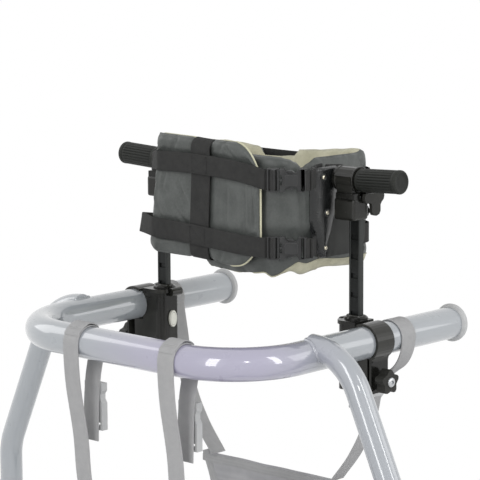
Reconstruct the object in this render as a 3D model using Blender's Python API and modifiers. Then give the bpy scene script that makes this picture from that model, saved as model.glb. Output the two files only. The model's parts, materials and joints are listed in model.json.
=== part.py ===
# Gait trainer: a wheeled frame with a padded trunk support and a hanging hip sling.
# Metres, +Z up. +X is to the user's side, -Y is the closed front with the crossbar,
# +Y is the open end. The origin is on the floor under the middle of the whole object.
import math

import bmesh
import bpy
from mathutils import Matrix, Vector

# Handle tube: one U-shaped tube round the user
TUBE_H = 0.640          # height of the tube's centre line
TUBE_R = 0.01905
ARM_X = 0.1875          # half the spacing of the arms
BEND_R = 0.090
BAR_Y = -0.231          # centre line of the crossbar
ARM_END_Y = BAR_Y + 0.368
CAP_FLANGE_R = 0.0235
CAP_FLANGE_T = 0.0055

# Legs
LEG_R = 0.0143
LEG_Y = BAR_Y + 0.118
LEG_ARC_R = 0.075
LEG_SPLAY = math.radians(24.5)
LEG_START_Z = TUBE_H + 0.010
SIDE_X = 0.325          # vertical leg and base side tube
LEG_FOOT_Z = 0.215
SLEEVE_TOP_Z = 0.372
SLEEVE_R = 0.0178
SLEEVE_BORE_R = 0.0149
GUSSET_LEG = 0.085
GUSSET_T = 0.004

# Base and casters
BASE_Z = 0.172
BASE_R = 0.0159
CROSS_R = 0.0143
FRONT_CASTER_Y = -0.375
REAR_CASTER_Y = 0.305
CROSS_Y = FRONT_CASTER_Y + 0.075
SOCKET_R = 0.0165
SOCKET_LOW = 0.152
SOCKET_TOP = 0.198
STEM_R = 0.0055
STEM_TOP = 0.190
TRAIL = 0.035
WHEEL_R = 0.0625
WHEEL_W = 0.028
FORK_IN = 0.0170        # half the clear width between the cheeks
CHEEK_T = 0.0035
AXLE_R = 0.0045
CROWN_Z = 0.142         # top of the fork
BRAKE_PIN_Y = 0.022     # brake hinge, behind the axle and above it
BRAKE_PIN_Z = 0.076
BRAKE_PIN_R = 0.0025

# Rail clamps and posts of the trunk support
POST_X = 0.1568
POST_Y = 0.0
POST_W = 0.0170
POST_D = 0.0080
POST_LOW = TUBE_H - 0.085
POST_TOP = TUBE_H + 0.166
SLOT_PITCH = 0.0225
SLOT_W = 0.0110
SLOT_H = 0.0060
SLOT_DEPTH = 0.0030
BAND_Y0 = -0.0240
BAND_Y1 = 0.0060
BAND_ANGLE = -61           # where the band leaves the tube and hangs down
HOUSING_Y0 = -0.0200
HOUSING_Y1 = 0.0105
HOUSING_X0 = 0.1430
HOUSING_X1 = 0.1905
HOUSING_CORNER = 0.0090
HOUSING_LOW = TUBE_H - 0.060
HOUSING_TOP = TUBE_H + 0.0180
BAND_T = 0.0030
SCREW_Z = TUBE_H - 0.0443
SCREW_R = 0.0030
SCREW_Y = (BAND_Y0 + BAND_Y1) / 2
KNOB_R = 0.0150
BUTTON_Y = POST_Y - 0.0008
BUTTON_Z = TUBE_H - 0.0165
BUTTON_HALF = (0.0060, 0.0105)
BUTTON_PROUD = 0.0028
LIP_R = 0.0052

# Head brackets, grips, side plates
GRIP_Z = TUBE_H + 0.184
GRIP_R = 0.0137
GRIP_TILT = math.radians(2.5)
GRIP_X0 = 0.1627
GRIP_LEN = 0.0600
SPIGOT_X0 = 0.1285         # where the collar's spigot sits on the side plate
SPIGOT_R = 0.0118
COLLAR_X0 = 0.1320
COLLAR_R = 0.0147
BRACKET_X = (0.1375, 0.1680)   # the bracket that holds the post, below the collar
BRACKET_Y = (-0.0180, 0.0085)
BRACKET_Z = (TUBE_H + 0.138, TUBE_H + 0.1635)
LOCK_X = 0.1580
LOCK_Z = TUBE_H + 0.147
LOCK_R = 0.0078
WING_X = BRACKET_X[1] + 0.0006
WING_Y = 0.0137
WING_Z = TUBE_H + 0.1635
WING_T = 0.0042
PLATE_TOP = TUBE_H + 0.198
PLATE_LOW = TUBE_H + 0.092
PLATE_Y0 = -0.036
PLATE_Y1 = 0.006
PLATE_T = 0.0035
PLATE_OFF = 0.0018      # off the pad's outer face
PLATE_SHOULDER = 0.55   # where the taper starts, as a share of the height
PLATE_FOOT = 0.006

# Trunk pads: a loop round the chest
PAD_HALF_X = 0.1190
PAD_NEAR_Y = -0.088
PAD_FAR_Y = 0.078
PAD_CORNER = 0.040
PAD_FAR_CORNER = 0.024
PAD_T = 0.020
PAD_LOW = TUBE_H + 0.078
PAD_TOP = TUBE_H + 0.212
FLAP_T = 0.013
FLAP_LOW = TUBE_H + 0.088
FLAP_TOP = TUBE_H + 0.2315
FLAP_START = -0.0735       # the flap's two ends, from the middle of the front
FLAP_STOP = 0.0965
FLAP_LEAN = 0.009          # its left edge leans in by this much above and out below
WRAP_START = -0.010        # the wrap's two ends, round the loop
WRAP_STOP = 0.610

# Webbing and buckles
WEB_W = 0.0250
WEB_T = 0.0016
UPPER_Z = TUBE_H + 0.1893
LOWER_Z = TUBE_H + 0.1113
WEB_STOP = 0.1088          # where a strap reaches its buckle
# each strap climbs from its buckle to the left: how far, and over what length most of it
UPPER_RISE = 0.0122
UPPER_RUN = 0.050
LOWER_RISE = 0.0116
LOWER_RUN = 0.150
CROSS_W = 0.030
CROSS_X = 0.007
CROSS_LEAN = 0.0035        # its top leans to the right and its foot to the left by this much
UPPER_FREE = ((-0.1213, -0.0385), (-0.1208, -0.0500), (-0.1140, -0.0665), (-0.1010, -0.0826),
              (-0.0860, -0.0982), (-0.0700, -0.1068))
LOWER_FREE = ((-0.1213, -0.0385), (-0.1235, -0.0520), (-0.1215, -0.0700), (-0.1120, -0.0885),
              (-0.0960, -0.1018), (-0.0790, -0.1080))
BUCKLE_L = 0.0325
BUCKLE_W = 0.0274
BUCKLE_T = 0.0085
PLUG_L = 0.014
PRONG_L = 0.015
BUCKLE_YAW = math.radians(38)
PLUG_X = 0.1069
PLUG_Y = -0.0983

# Hip sling
FRONT_STRAP_X = (-0.060, 0.093)
REAR_STRAP_Y = BAR_Y + 0.2655
SLING_FRONT_Z = TUBE_H - 0.215
SLING_REAR_Z = TUBE_H - 0.190
SLING_LOW_Z = TUBE_H - 0.300
SLING_T = 0.005
SLING_FRONT_Y = BAR_Y + 0.012
SLING_REAR_Y = BAR_Y + 0.267

GAP = 0.0003
SIDES = (("left", -1), ("right", 1))

for old in list(bpy.data.objects):
    bpy.data.objects.remove(old, do_unlink=True)

scene = bpy.context.scene
part_col = bpy.data.collections.new("gait_trainer")
cut_col = bpy.data.collections.new("cutters")
scene.collection.children.link(part_col)
scene.collection.children.link(cut_col)


# Materials: colour, roughness, metallic
def finish(name, rgb, rough, metal=0.0):
    mat = bpy.data.materials.new(name)
    mat.use_nodes = True
    shader = mat.node_tree.nodes["Principled BSDF"]
    shader.inputs["Base Color"].default_value = (*rgb, 1.0)
    shader.inputs["Roughness"].default_value = rough
    shader.inputs["Metallic"].default_value = metal
    return mat


FRAME_PAINT = finish("frame_paint", (0.46, 0.47, 0.53), 0.25, 0.3)
GREY_PLASTIC = finish("grey_plastic", (0.42, 0.42, 0.44), 0.45)
BLACK_GLOSS = finish("black_gloss", (0.012, 0.013, 0.013), 0.22)
BLACK_MATTE = finish("black_matte", (0.016, 0.016, 0.016), 0.5)
ANODISED = finish("anodised_black", (0.020, 0.021, 0.022), 0.35, 0.4)
GRIP_RUBBER = finish("grip_rubber", (0.014, 0.015, 0.014), 0.7)
WHITE_PLASTIC = finish("white_plastic", (0.80, 0.80, 0.76), 0.35)
PAD_VINYL = finish("pad_vinyl", (0.10, 0.108, 0.104), 0.5)
WEBBING = finish("webbing", (0.030, 0.030, 0.030), 0.8)
PALE_WEBBING = finish("pale_webbing", (0.40, 0.40, 0.40), 0.85)
TYRE_GREY = finish("tyre_grey", (0.18, 0.18, 0.19), 0.6)
STEEL = finish("steel", (0.60, 0.60, 0.60), 0.3, 1.0)


# General makers
def as_cutter(obj):
    for col in list(obj.users_collection):
        col.objects.unlink(obj)
    cut_col.objects.link(obj)
    obj.hide_render = True
    obj.display_type = "WIRE"
    return obj


def add_object(name, mesh, mat, origin=(0, 0, 0)):
    obj = bpy.data.objects.new(name, mesh)
    obj.location = origin
    if mat is not None:
        mesh.materials.clear()
        mesh.materials.append(mat)
    part_col.objects.link(obj)
    return obj


def smooth(obj, angle=35):
    obj.data.shade_smooth()
    obj.data.set_sharp_from_angle(angle=math.radians(angle))
    return obj


def set_origin(obj, point):
    shift = Vector(point) - obj.location
    obj.data.transform(Matrix.Translation(-shift))
    obj.location = point
    return obj


def curve_to_mesh(curve_obj, name, mat):
    bpy.context.view_layer.update()
    graph = bpy.context.evaluated_depsgraph_get()
    mesh = bpy.data.meshes.new_from_object(curve_obj.evaluated_get(graph))
    mesh.transform(curve_obj.matrix_world)
    bm = bmesh.new()
    bm.from_mesh(mesh)
    bmesh.ops.remove_doubles(bm, verts=bm.verts, dist=0.000005)
    bmesh.ops.recalc_face_normals(bm, faces=bm.faces)
    bm.to_mesh(mesh)
    bm.free()
    mesh.name = name
    bpy.data.objects.remove(curve_obj, do_unlink=True)
    return add_object(name, mesh, mat)


def tube(name, points, radius, mat, resolution=6):
    data = bpy.data.curves.new(name, "CURVE")
    data.dimensions = "3D"
    data.bevel_depth = radius
    data.bevel_resolution = resolution
    data.use_fill_caps = True
    data.twist_mode = "MINIMUM"
    spline = data.splines.new("POLY")
    spline.points.add(len(points) - 1)
    for item, point in zip(spline.points, points):
        item.co = (*point, 1.0)
    obj = bpy.data.objects.new(name, data)
    part_col.objects.link(obj)
    return smooth(curve_to_mesh(obj, name, mat), 50)


# A flat outline pushed out along one axis, from low to high
def prism(name, outline, axis, low, high, mat):
    data = bpy.data.curves.new(name, "CURVE")
    data.dimensions = "2D"
    data.fill_mode = "BOTH"
    data.extrude = (high - low) / 2
    spline = data.splines.new("POLY")
    spline.points.add(len(outline) - 1)
    for item, point in zip(spline.points, outline):
        item.co = (point[0], point[1], 0.0, 1.0)
    spline.use_cyclic_u = True
    obj = bpy.data.objects.new(name, data)
    part_col.objects.link(obj)
    middle = (high + low) / 2
    if axis == "X":
        turn = Matrix(((0, 0, 1, middle), (1, 0, 0, 0), (0, 1, 0, 0), (0, 0, 0, 1)))
    elif axis == "Y":
        turn = Matrix(((1, 0, 0, 0), (0, 0, -1, middle), (0, 1, 0, 0), (0, 0, 0, 1)))
    else:
        turn = Matrix.Translation((0, 0, middle))
    obj.matrix_world = turn
    return curve_to_mesh(obj, name, mat)


def cylinder(name, radius, low, high, axis, centre, mat, sides=20):
    bm = bmesh.new()
    bmesh.ops.create_cone(bm, cap_ends=True, segments=sides, radius1=radius, radius2=radius,
                          depth=high - low)
    turns = {"X": Matrix.Rotation(math.pi / 2, 4, "Y"),
             "Y": Matrix.Rotation(-math.pi / 2, 4, "X"),
             "Z": Matrix.Identity(4)}
    bmesh.ops.transform(bm, matrix=turns[axis], verts=bm.verts)
    mesh = bpy.data.meshes.new(name)
    bm.to_mesh(mesh)
    bm.free()
    place = Vector(centre)
    place["XYZ".index(axis)] = (low + high) / 2
    return smooth(add_object(name, mesh, mat, place))


def box(name, low, high, mat, bevel=0.0, segments=2):
    bm = bmesh.new()
    bmesh.ops.create_cube(bm, size=1.0)
    size = [abs(b - a) for a, b in zip(low, high)]
    bmesh.ops.scale(bm, vec=size, verts=bm.verts)
    mesh = bpy.data.meshes.new(name)
    bm.to_mesh(mesh)
    bm.free()
    obj = add_object(name, mesh, mat, [(a + b) / 2 for a, b in zip(low, high)])
    if bevel:
        edge = obj.modifiers.new("edges", "BEVEL")
        edge.width = bevel
        edge.segments = segments
        edge.limit_method = "ANGLE"
    return obj


# A turned shape: a profile of (radius, height) from top to bottom about an axis. With a flat,
# the turn starts half a step round, so that a facet and not an edge faces down.
def turned(name, profile, centre, axis, mat, steps=28, flat=False):
    first = math.pi / steps if flat else 0.0
    bm = bmesh.new()
    verts = [bm.verts.new((r * math.cos(first), r * math.sin(first), h)) for r, h in profile]
    for a, b in zip(verts, verts[1:]):
        bm.edges.new((a, b))
    mesh = bpy.data.meshes.new(name)
    bm.to_mesh(mesh)
    bm.free()
    obj = add_object(name, mesh, mat, centre)
    turns = {"X": (0, math.pi / 2, 0), "-X": (0, -math.pi / 2, 0), "Y": (-math.pi / 2, 0, 0),
             "-Y": (math.pi / 2, 0, 0), "Z": (0, 0, 0)}
    obj.rotation_euler = turns[axis]
    screw = obj.modifiers.new("turn", "SCREW")
    screw.steps = steps
    screw.render_steps = steps
    screw.use_merge_vertices = True
    screw.merge_threshold = 0.00001
    screw.use_smooth_shade = True
    return obj


def bool_with(obj, other, operation):
    as_cutter(other)
    step = obj.modifiers.new(operation.lower(), "BOOLEAN")
    step.operation = operation
    step.solver = "EXACT"
    step.object = other
    return obj


def cut(obj, other):
    return bool_with(obj, other, "DIFFERENCE")


def join(obj, other):
    return bool_with(obj, other, "UNION")


def arc(cx, cy, radius, start, stop, count):
    points = []
    for i in range(count + 1):
        a = math.radians(start + (stop - start) * i / count)
        points.append((cx + radius * math.cos(a), cy + radius * math.sin(a)))
    return points


# Corners of a polyline rounded to a radius
def rounded(points, radius, count=6):
    path = [Vector(points[0])]
    for before, corner, after in zip(points, points[1:], points[2:]):
        before, corner, after = Vector(before), Vector(corner), Vector(after)
        to_a = (before - corner).normalized()
        to_b = (after - corner).normalized()
        half = to_a.angle(to_b) / 2
        reach = radius / math.tan(half)
        centre = corner + (to_a + to_b).normalized() * (radius / math.sin(half))
        first = (corner + to_a * reach - centre).normalized()
        last = (corner + to_b * reach - centre).normalized()
        for i in range(count + 1):
            path.append(centre + first.slerp(last, i / count) * radius)
    path.append(Vector(points[-1]))
    return path


# A lofted solid: rings of points, closed along the ring, capped at both ends
def loft(name, rings, mat):
    bm = bmesh.new()
    rows = [[bm.verts.new(p) for p in ring] for ring in rings]
    count = len(rows[0])
    for a, b in zip(rows, rows[1:]):
        for i in range(count):
            j = (i + 1) % count
            bm.faces.new((a[i], a[j], b[j], b[i]))
    bm.faces.new(list(reversed(rows[0])))
    bm.faces.new(rows[-1])
    bmesh.ops.recalc_face_normals(bm, faces=bm.faces)
    mesh = bpy.data.meshes.new(name)
    bm.to_mesh(mesh)
    bm.free()
    return smooth(add_object(name, mesh, mat), 60)


# A strip of webbing: a path with a side direction for its width, thickened
def strap(name, path, side, width, mat, thick=WEB_T):
    side = Vector(side).normalized() * (width / 2)
    rings = []
    for i, point in enumerate(path):
        before = Vector(path[max(i - 1, 0)])
        after = Vector(path[min(i + 1, len(path) - 1)])
        out = (after - before).cross(side).normalized() * (thick / 2)
        p = Vector(point)
        rings.append([p - side - out, p + side - out, p + side + out, p - side + out])
    obj = loft(name, rings, mat)
    return obj


# Handle tube with its two end caps
def handle_path():
    corners = [(-ARM_X, ARM_END_Y, TUBE_H), (-ARM_X, BAR_Y, TUBE_H),
               (ARM_X, BAR_Y, TUBE_H), (ARM_X, ARM_END_Y, TUBE_H)]
    return rounded(corners, BEND_R, 10)


tube("handle_tube", handle_path(), TUBE_R, FRAME_PAINT, 7)
for side_name, s in SIDES:
    cap_profile = [(0.0, 0.0060), (0.0120, 0.0055), (0.0195, 0.0035), (CAP_FLANGE_R, 0.0010),
                   (CAP_FLANGE_R, -0.0030), (TUBE_R + 0.0010, -CAP_FLANGE_T),
                   (0.0, -CAP_FLANGE_T)]
    turned("arm_cap_" + side_name, cap_profile,
           (s * ARM_X, ARM_END_Y + CAP_FLANGE_T + GAP, TUBE_H), "Y", GREY_PLASTIC, 20)


# Upper leg: springs from the side of the arm, bends down, splays and then hangs straight
def leg_path(s):
    end_x = ARM_X + LEG_ARC_R * math.sin(math.pi / 2 - LEG_SPLAY)
    end_z = LEG_START_Z - LEG_ARC_R * (1 - math.cos(math.pi / 2 - LEG_SPLAY))
    corner_z = end_z - (SIDE_X - end_x) / math.tan(LEG_SPLAY)
    points = []
    for x, z in arc(ARM_X, LEG_START_Z - LEG_ARC_R, LEG_ARC_R, 90, math.degrees(LEG_SPLAY), 7):
        points.append((s * x, LEG_Y, z))
    lower = rounded([(s * end_x, LEG_Y, end_z), (s * SIDE_X, LEG_Y, corner_z),
                     (s * SIDE_X, LEG_Y, LEG_FOOT_Z)], LEG_ARC_R, 4)
    return points + lower[1:]


for side_name, s in SIDES:
    leg = tube("leg_upper_" + side_name, leg_path(s), LEG_R, FRAME_PAINT, 6)
    clear = tube("leg_cope_" + side_name, handle_path(), TUBE_R + GAP, None, 7)
    cut(leg, clear)


# Base: two side tubes, a front cross tube and a socket over each caster
def base_tube(name, a, b, radius):
    return tube(name, [a, b], radius, FRAME_PAINT, 6)


base = base_tube("base_frame", (-SIDE_X, FRONT_CASTER_Y, BASE_Z), (-SIDE_X, REAR_CASTER_Y, BASE_Z),
                 BASE_R)
join(base, base_tube("base_right", (SIDE_X, FRONT_CASTER_Y, BASE_Z),
                     (SIDE_X, REAR_CASTER_Y, BASE_Z), BASE_R))
join(base, base_tube("base_cross", (-SIDE_X, CROSS_Y, BASE_Z), (SIDE_X, CROSS_Y, BASE_Z),
                     CROSS_R))
CASTER_SPOTS = []
for end_name, y in (("front", FRONT_CASTER_Y), ("rear", REAR_CASTER_Y)):
    for side_name, s in SIDES:
        CASTER_SPOTS.append((end_name + "_" + side_name, s * SIDE_X, y))
for spot, x, y in CASTER_SPOTS:
    join(base, cylinder("socket_" + spot, SOCKET_R, SOCKET_LOW, SOCKET_TOP, "Z", (x, y, 0),
                        FRAME_PAINT, 20))
for spot, x, y in CASTER_SPOTS:
    cut(base, cylinder("stem_bore_" + spot, STEM_R + GAP, SOCKET_LOW - 0.01, STEM_TOP + 0.001,
                       "Z", (x, y, 0), None, 14))

# Leg sleeves on the base, each with a gusset plate and a boss for its knob
for side_name, s in SIDES:
    x = s * SIDE_X
    foot = BASE_Z + 0.004
    sleeve = cylinder("leg_sleeve_" + side_name, SLEEVE_R, foot, SLEEVE_TOP_Z, "Z",
                      (x, LEG_Y, 0), FRAME_PAINT, 24)
    gusset = prism("gusset_" + side_name,
                   [(LEG_Y, foot), (LEG_Y + GUSSET_LEG, foot), (LEG_Y + GUSSET_LEG, foot + 0.016),
                    (LEG_Y + SLEEVE_R + 0.006, foot + GUSSET_LEG), (LEG_Y, foot + GUSSET_LEG)],
                   "X", x - GUSSET_T / 2, x + GUSSET_T / 2, None)
    join(sleeve, gusset)
    boss = cylinder("boss_" + side_name, 0.009, *sorted((x, x + s * (SLEEVE_R + 0.006))), "X",
                    (0, LEG_Y, SLEEVE_TOP_Z - 0.025), None, 16)
    join(sleeve, boss)
    cut(sleeve, cylinder("sleeve_bore_" + side_name, SLEEVE_BORE_R, foot - 0.01,
                         SLEEVE_TOP_Z + 0.01, "Z", (x, LEG_Y, 0), None, 24))
    cut(sleeve, base_tube("sleeve_cope_" + side_name, (x, LEG_Y - 0.1, BASE_Z),
                          (x, LEG_Y + 0.2, BASE_Z), BASE_R + GAP))
    cut(sleeve, cylinder("screw_way_" + side_name, 0.0045, *sorted((x, x + s * 0.04)), "X",
                         (0, LEG_Y, SLEEVE_TOP_Z - 0.025), None, 14))


# A hand knob with round lobes and its screw, turning about the X axis
def hand_knob(name, s, centre, radius, depth, lobes, screw_r, screw_len, mat):
    outline = []
    count = lobes * 6
    for i in range(count):
        a = 2 * math.pi * i / count
        r = radius * (0.86 + 0.14 * math.cos(lobes * a))
        outline.append((centre[1] + r * math.sin(a), centre[2] + r * math.cos(a)))
    low, high = sorted((centre[0], centre[0] + s * depth))
    knob = prism(name, outline, "X", low, high, mat)
    back, front = sorted((centre[0] - s * screw_len, centre[0] + s * 0.002))
    set_origin(knob, centre)
    join(knob, cylinder(name + "_screw", screw_r, back, front, "X", centre, None, 12))
    return knob


for side_name, s in SIDES:
    hand_knob("height_knob_" + side_name, s,
              (s * (SIDE_X + SLEEVE_R + 0.0075), LEG_Y, SLEEVE_TOP_Z - 0.025),
              0.016, 0.012, 3, 0.004, SLEEVE_R + 0.0075 - LEG_R - GAP, BLACK_MATTE)


# Casters: stem and fork, wheel, axle and on the rear pair a brake pedal
def fork(spot, x, y):
    axle_y = y + TRAIL
    braked = spot.startswith("rear")
    pin_y = axle_y + BRAKE_PIN_Y
    pin_z = WHEEL_R + BRAKE_PIN_Z
    outline = [(y - 0.020, CROWN_Z), (y - 0.022, CROWN_Z - 0.010), (axle_y - 0.012, WHEEL_R - 0.004)]
    outline += arc(axle_y, WHEEL_R, 0.0125, 200, 340, 6)
    outline.append((axle_y + 0.014, WHEEL_R + 0.030))
    if braked:
        outline += arc(pin_y, pin_z, 0.0070, -30, 90, 5)
        outline.append((axle_y, pin_z + 0.0070))
    else:
        outline.append((axle_y - 0.002, CROWN_Z - 0.006))
    outline.append((axle_y - 0.010, CROWN_Z))
    out = FORK_IN + CHEEK_T
    body = prism("caster_fork_" + spot, outline, "X", x - out, x + out, BLACK_MATTE)
    set_origin(body, (x, y, CROWN_Z))
    inner = box("fork_gap_" + spot, (x - FORK_IN, y - 0.05, 0.0),
                (x + FORK_IN, axle_y + 0.05, 2 * WHEEL_R + 0.008), None)
    cut(body, inner)
    join(body, cylinder("fork_stem_" + spot, STEM_R, CROWN_Z - 0.004, STEM_TOP, "Z", (x, y, 0),
                        None, 14))
    join(body, cylinder("fork_collar_" + spot, 0.013, CROWN_Z - 0.003, SOCKET_LOW - GAP, "Z",
                        (x, y, 0), None, 16))
    if braked:
        cut(body, box("pedal_gap_" + spot, (x - FORK_IN, pin_y - 0.0095, 0.0),
                      (x + FORK_IN, pin_y + 0.05, CROWN_Z + 0.02), None))
        cut(body, cylinder("brake_pin_hole_" + spot, BRAKE_PIN_R + GAP, x - 0.05, x + 0.05, "X",
                           (0, pin_y, pin_z), None, 12))
    cut(body, cylinder("fork_axle_hole_" + spot, AXLE_R + GAP, x - 0.05, x + 0.05, "X",
                       (0, axle_y, WHEEL_R), None, 14))
    return body


# The tread's facets touch the wheel's circle at their middles, so the wheel stands on one
def wheel(spot, x, y):
    steps = 20
    half = WHEEL_W / 2
    bore = AXLE_R + 2 * GAP
    tread = WHEEL_R / math.cos(math.pi / steps)
    profile = [(bore, half), (0.014, half), (0.017, half - 0.007), (0.042, half - 0.007),
               (0.046, half - 0.001), (0.0585, half - 0.003), (tread, half - 0.009)]
    lower = [(r, -h) for r, h in reversed(profile)]
    whole = profile + lower + [profile[0]]
    return turned("caster_wheel_" + spot, whole, (x, y + TRAIL, WHEEL_R), "X", TYRE_GREY, steps,
                  flat=True)


def axle(spot, x, y):
    centre = (x, y + TRAIL, WHEEL_R)
    out = FORK_IN + CHEEK_T + GAP
    body = cylinder("caster_axle_" + spot, AXLE_R, x - out - 0.001, x + out + 0.001, "X", centre,
                    STEEL, 14)
    for name, low, high in (("_head", x + out, x + out + 0.005), ("_nut", x - out - 0.005, x - out)):
        join(body, cylinder("axle_" + spot + name, 0.0078, low, high, "X", centre, None, 6))
    return body


# The pedal turns on a pin through the two lugs of the fork; its shoe is just clear of the tread
def brake(spot, x, y):
    pin_y = y + TRAIL + BRAKE_PIN_Y
    pin_z = WHEEL_R + BRAKE_PIN_Z
    shape = [(-0.006, 0.004), (-0.006, -0.006), (-0.002, -0.0140), (0.005, -0.0164), (0.008, -0.005),
             (0.030, -0.003), (0.040, 0.001), (0.040, 0.005), (0.026, 0.004), (0.006, 0.006)]
    outline = [(pin_y + u, pin_z + v) for u, v in shape]
    pedal = prism("caster_brake_" + spot, outline, "X", x - 0.014, x + 0.014, BLACK_MATTE)
    set_origin(pedal, (x, pin_y, pin_z))
    reach = FORK_IN + CHEEK_T
    join(pedal, cylinder("brake_pin_" + spot, BRAKE_PIN_R, x - reach, x + reach, "X",
                         (x, pin_y, pin_z), None, 12))
    return pedal


for spot, x, y in CASTER_SPOTS:
    fork(spot, x, y)
    wheel(spot, x, y)
    axle(spot, x, y)
    if spot.startswith("rear"):
        brake(spot, x, y)


# Rail clamp housing: a block beside the tube with a bore for the post
def housing_plan(x0, x1, y0, y1, corner):
    plan = arc(x0 + corner, y0 + corner, corner, 270, 180, 6)
    plan += arc(x0 + 0.003, y1 - 0.003, 0.003, 180, 90, 3)
    return plan + [(x1, y1), (x1, y0)]


def clamp_housing(side_name, s):
    plan = housing_plan(HOUSING_X0, HOUSING_X1, HOUSING_Y0, HOUSING_Y1, HOUSING_CORNER)
    body = prism("clamp_housing_" + side_name, [(s * u, v) for u, v in plan], "Z", HOUSING_LOW,
                 HOUSING_TOP, BLACK_GLOSS)
    plan = housing_plan(HOUSING_X0 - 0.0025, ARM_X - 0.014, HOUSING_Y0 - 0.0020, HOUSING_Y1 + 0.0010,
                        HOUSING_CORNER + 0.003)
    join(body, prism("clamp_top_" + side_name, [(s * u, v) for u, v in plan], "Z",
                     HOUSING_TOP - 0.001, HOUSING_TOP + 0.0035, None))
    join(body, cylinder("clamp_lip_" + side_name, LIP_R, -0.0065, HOUSING_Y1, "Y",
                        (s * (HOUSING_X0 - 0.0030), 0, HOUSING_TOP - 0.0005), None, 16))
    foot = turned("post_foot_" + side_name,
                  [(0.0, HOUSING_TOP + 0.0068), (0.0125, HOUSING_TOP + 0.0065),
                   (0.0140, HOUSING_TOP + 0.0050), (0.0140, HOUSING_TOP), (0.0, HOUSING_TOP)],
                  (s * POST_X, POST_Y, 0), "Z", None, 24)
    join(body, foot)
    cut(body, tube("clamp_cope_" + side_name, handle_path(), TUBE_R + GAP, None, 7))
    away0, away1 = sorted((s * (ARM_X - 0.0115), s * 0.23))
    cut(body, box("clamp_open_" + side_name, (away0, -0.06, TUBE_H - TUBE_R),
                  (away1, 0.06, TUBE_H + 0.06), None))
    post0, post1 = sorted((s * (POST_X - POST_W / 2 - GAP), s * (POST_X + POST_W / 2 + GAP)))
    cut(body, box("post_way_" + side_name, (post0, POST_Y - POST_D / 2 - GAP, HOUSING_LOW - 0.02),
                  (post1, POST_Y + POST_D / 2 + GAP, HOUSING_TOP + 0.02), None))
    cut(body, button_solid("button_way_" + side_name, s, GAP, 0.008, None))
    cut(body, cylinder("clamp_screw_way_" + side_name, SCREW_R + GAP, *sorted((s * 0.150, s * 0.25)),
                       "X", (0, SCREW_Y, SCREW_Z), None, 12))
    return body


# The oval height button on the inner face of a housing
def button_solid(name, s, extra, depth, mat):
    outline = []
    for i in range(20):
        a = 2 * math.pi * i / 20
        outline.append((BUTTON_Y + (BUTTON_HALF[0] + extra) * math.cos(a),
                        BUTTON_Z + (BUTTON_HALF[1] + extra) * math.sin(a)))
    low, high = sorted((s * (HOUSING_X0 - BUTTON_PROUD), s * (HOUSING_X0 + depth)))
    return prism(name, outline, "X", low, high, mat)


# The curved band over the tube, from the housing's top round to a hanging flange
def clamp_band(side_name, s):
    radius = TUBE_R + GAP
    outer = radius + BAND_T
    flange_x = ARM_X + radius * math.cos(math.radians(BAND_ANGLE))
    flange_top = TUBE_H + radius * math.sin(math.radians(BAND_ANGLE))
    low_z = SCREW_Z - 0.0145
    outline = arc(ARM_X, TUBE_H, outer, 118, BAND_ANGLE + 8, 16)
    outline += [(flange_x + BAND_T, flange_top - 0.005), (flange_x + BAND_T, low_z),
                (flange_x, low_z), (flange_x, flange_top - 0.003)]
    outline += arc(ARM_X, TUBE_H, radius, BAND_ANGLE, 118, 16)
    outline = [(s * u, v) for u, v in outline]
    body = prism("clamp_band_" + side_name, outline, "Y", BAND_Y0, BAND_Y1, BLACK_GLOSS)
    boss = flange_x + BAND_T + 0.0038
    disc0, disc1 = sorted((s * (flange_x + BAND_T - 0.0005), s * boss))
    join(body, cylinder("band_boss_" + side_name, 0.0115, disc0, disc1, "X",
                        (0, SCREW_Y, SCREW_Z), None, 20))
    cut(body, cylinder("band_hole_" + side_name, SCREW_R + GAP, *sorted((s * 0.19, s * 0.23)), "X",
                       (0, SCREW_Y, SCREW_Z), None, 12))
    return s * boss


def post(side_name, s):
    x = s * POST_X
    half_w, half_d = POST_W / 2, POST_D / 2
    edge = 0.0022
    lip = 0.0012
    # the broad faces are sunk between two edge ridges
    outline = [(x - half_w, -half_d + lip), (x - half_w + lip, -half_d), (x - half_w + edge, -half_d),
               (x - half_w + edge + 0.0006, -half_d + 0.001), (x + half_w - edge - 0.0006, -half_d + 0.001),
               (x + half_w - edge, -half_d), (x + half_w - lip, -half_d), (x + half_w, -half_d + lip)]
    outline += [(u, -v) for u, v in reversed(outline)]
    body = prism("post_" + side_name, [(u, v + POST_Y) for u, v in outline], "Z", POST_LOW, POST_TOP,
                 ANODISED)
    for i in range(-3, 6):
        z = TUBE_H + 0.027 + SLOT_PITCH * i
        cut(body, box("post_slot_%s_%d" % (side_name, i + 3),
                      (x - SLOT_W / 2, POST_Y - half_d - 0.001, z - SLOT_H / 2),
                      (x + SLOT_W / 2, POST_Y - half_d + SLOT_DEPTH, z + SLOT_H / 2), None))
    return body


for side_name, s in SIDES:
    clamp_housing(side_name, s)
    knob_x = clamp_band(side_name, s)
    button = button_solid("release_button_" + side_name, s, 0.0, 0.0015, WHITE_PLASTIC)
    set_origin(button, (s * HOUSING_X0, BUTTON_Y, BUTTON_Z))
    hand_knob("clamp_knob_" + side_name, s, (knob_x + s * 0.0008, SCREW_Y, SCREW_Z), KNOB_R, 0.012,
              5, SCREW_R, 0.040, BLACK_MATTE)
    post(side_name, s)


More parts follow.
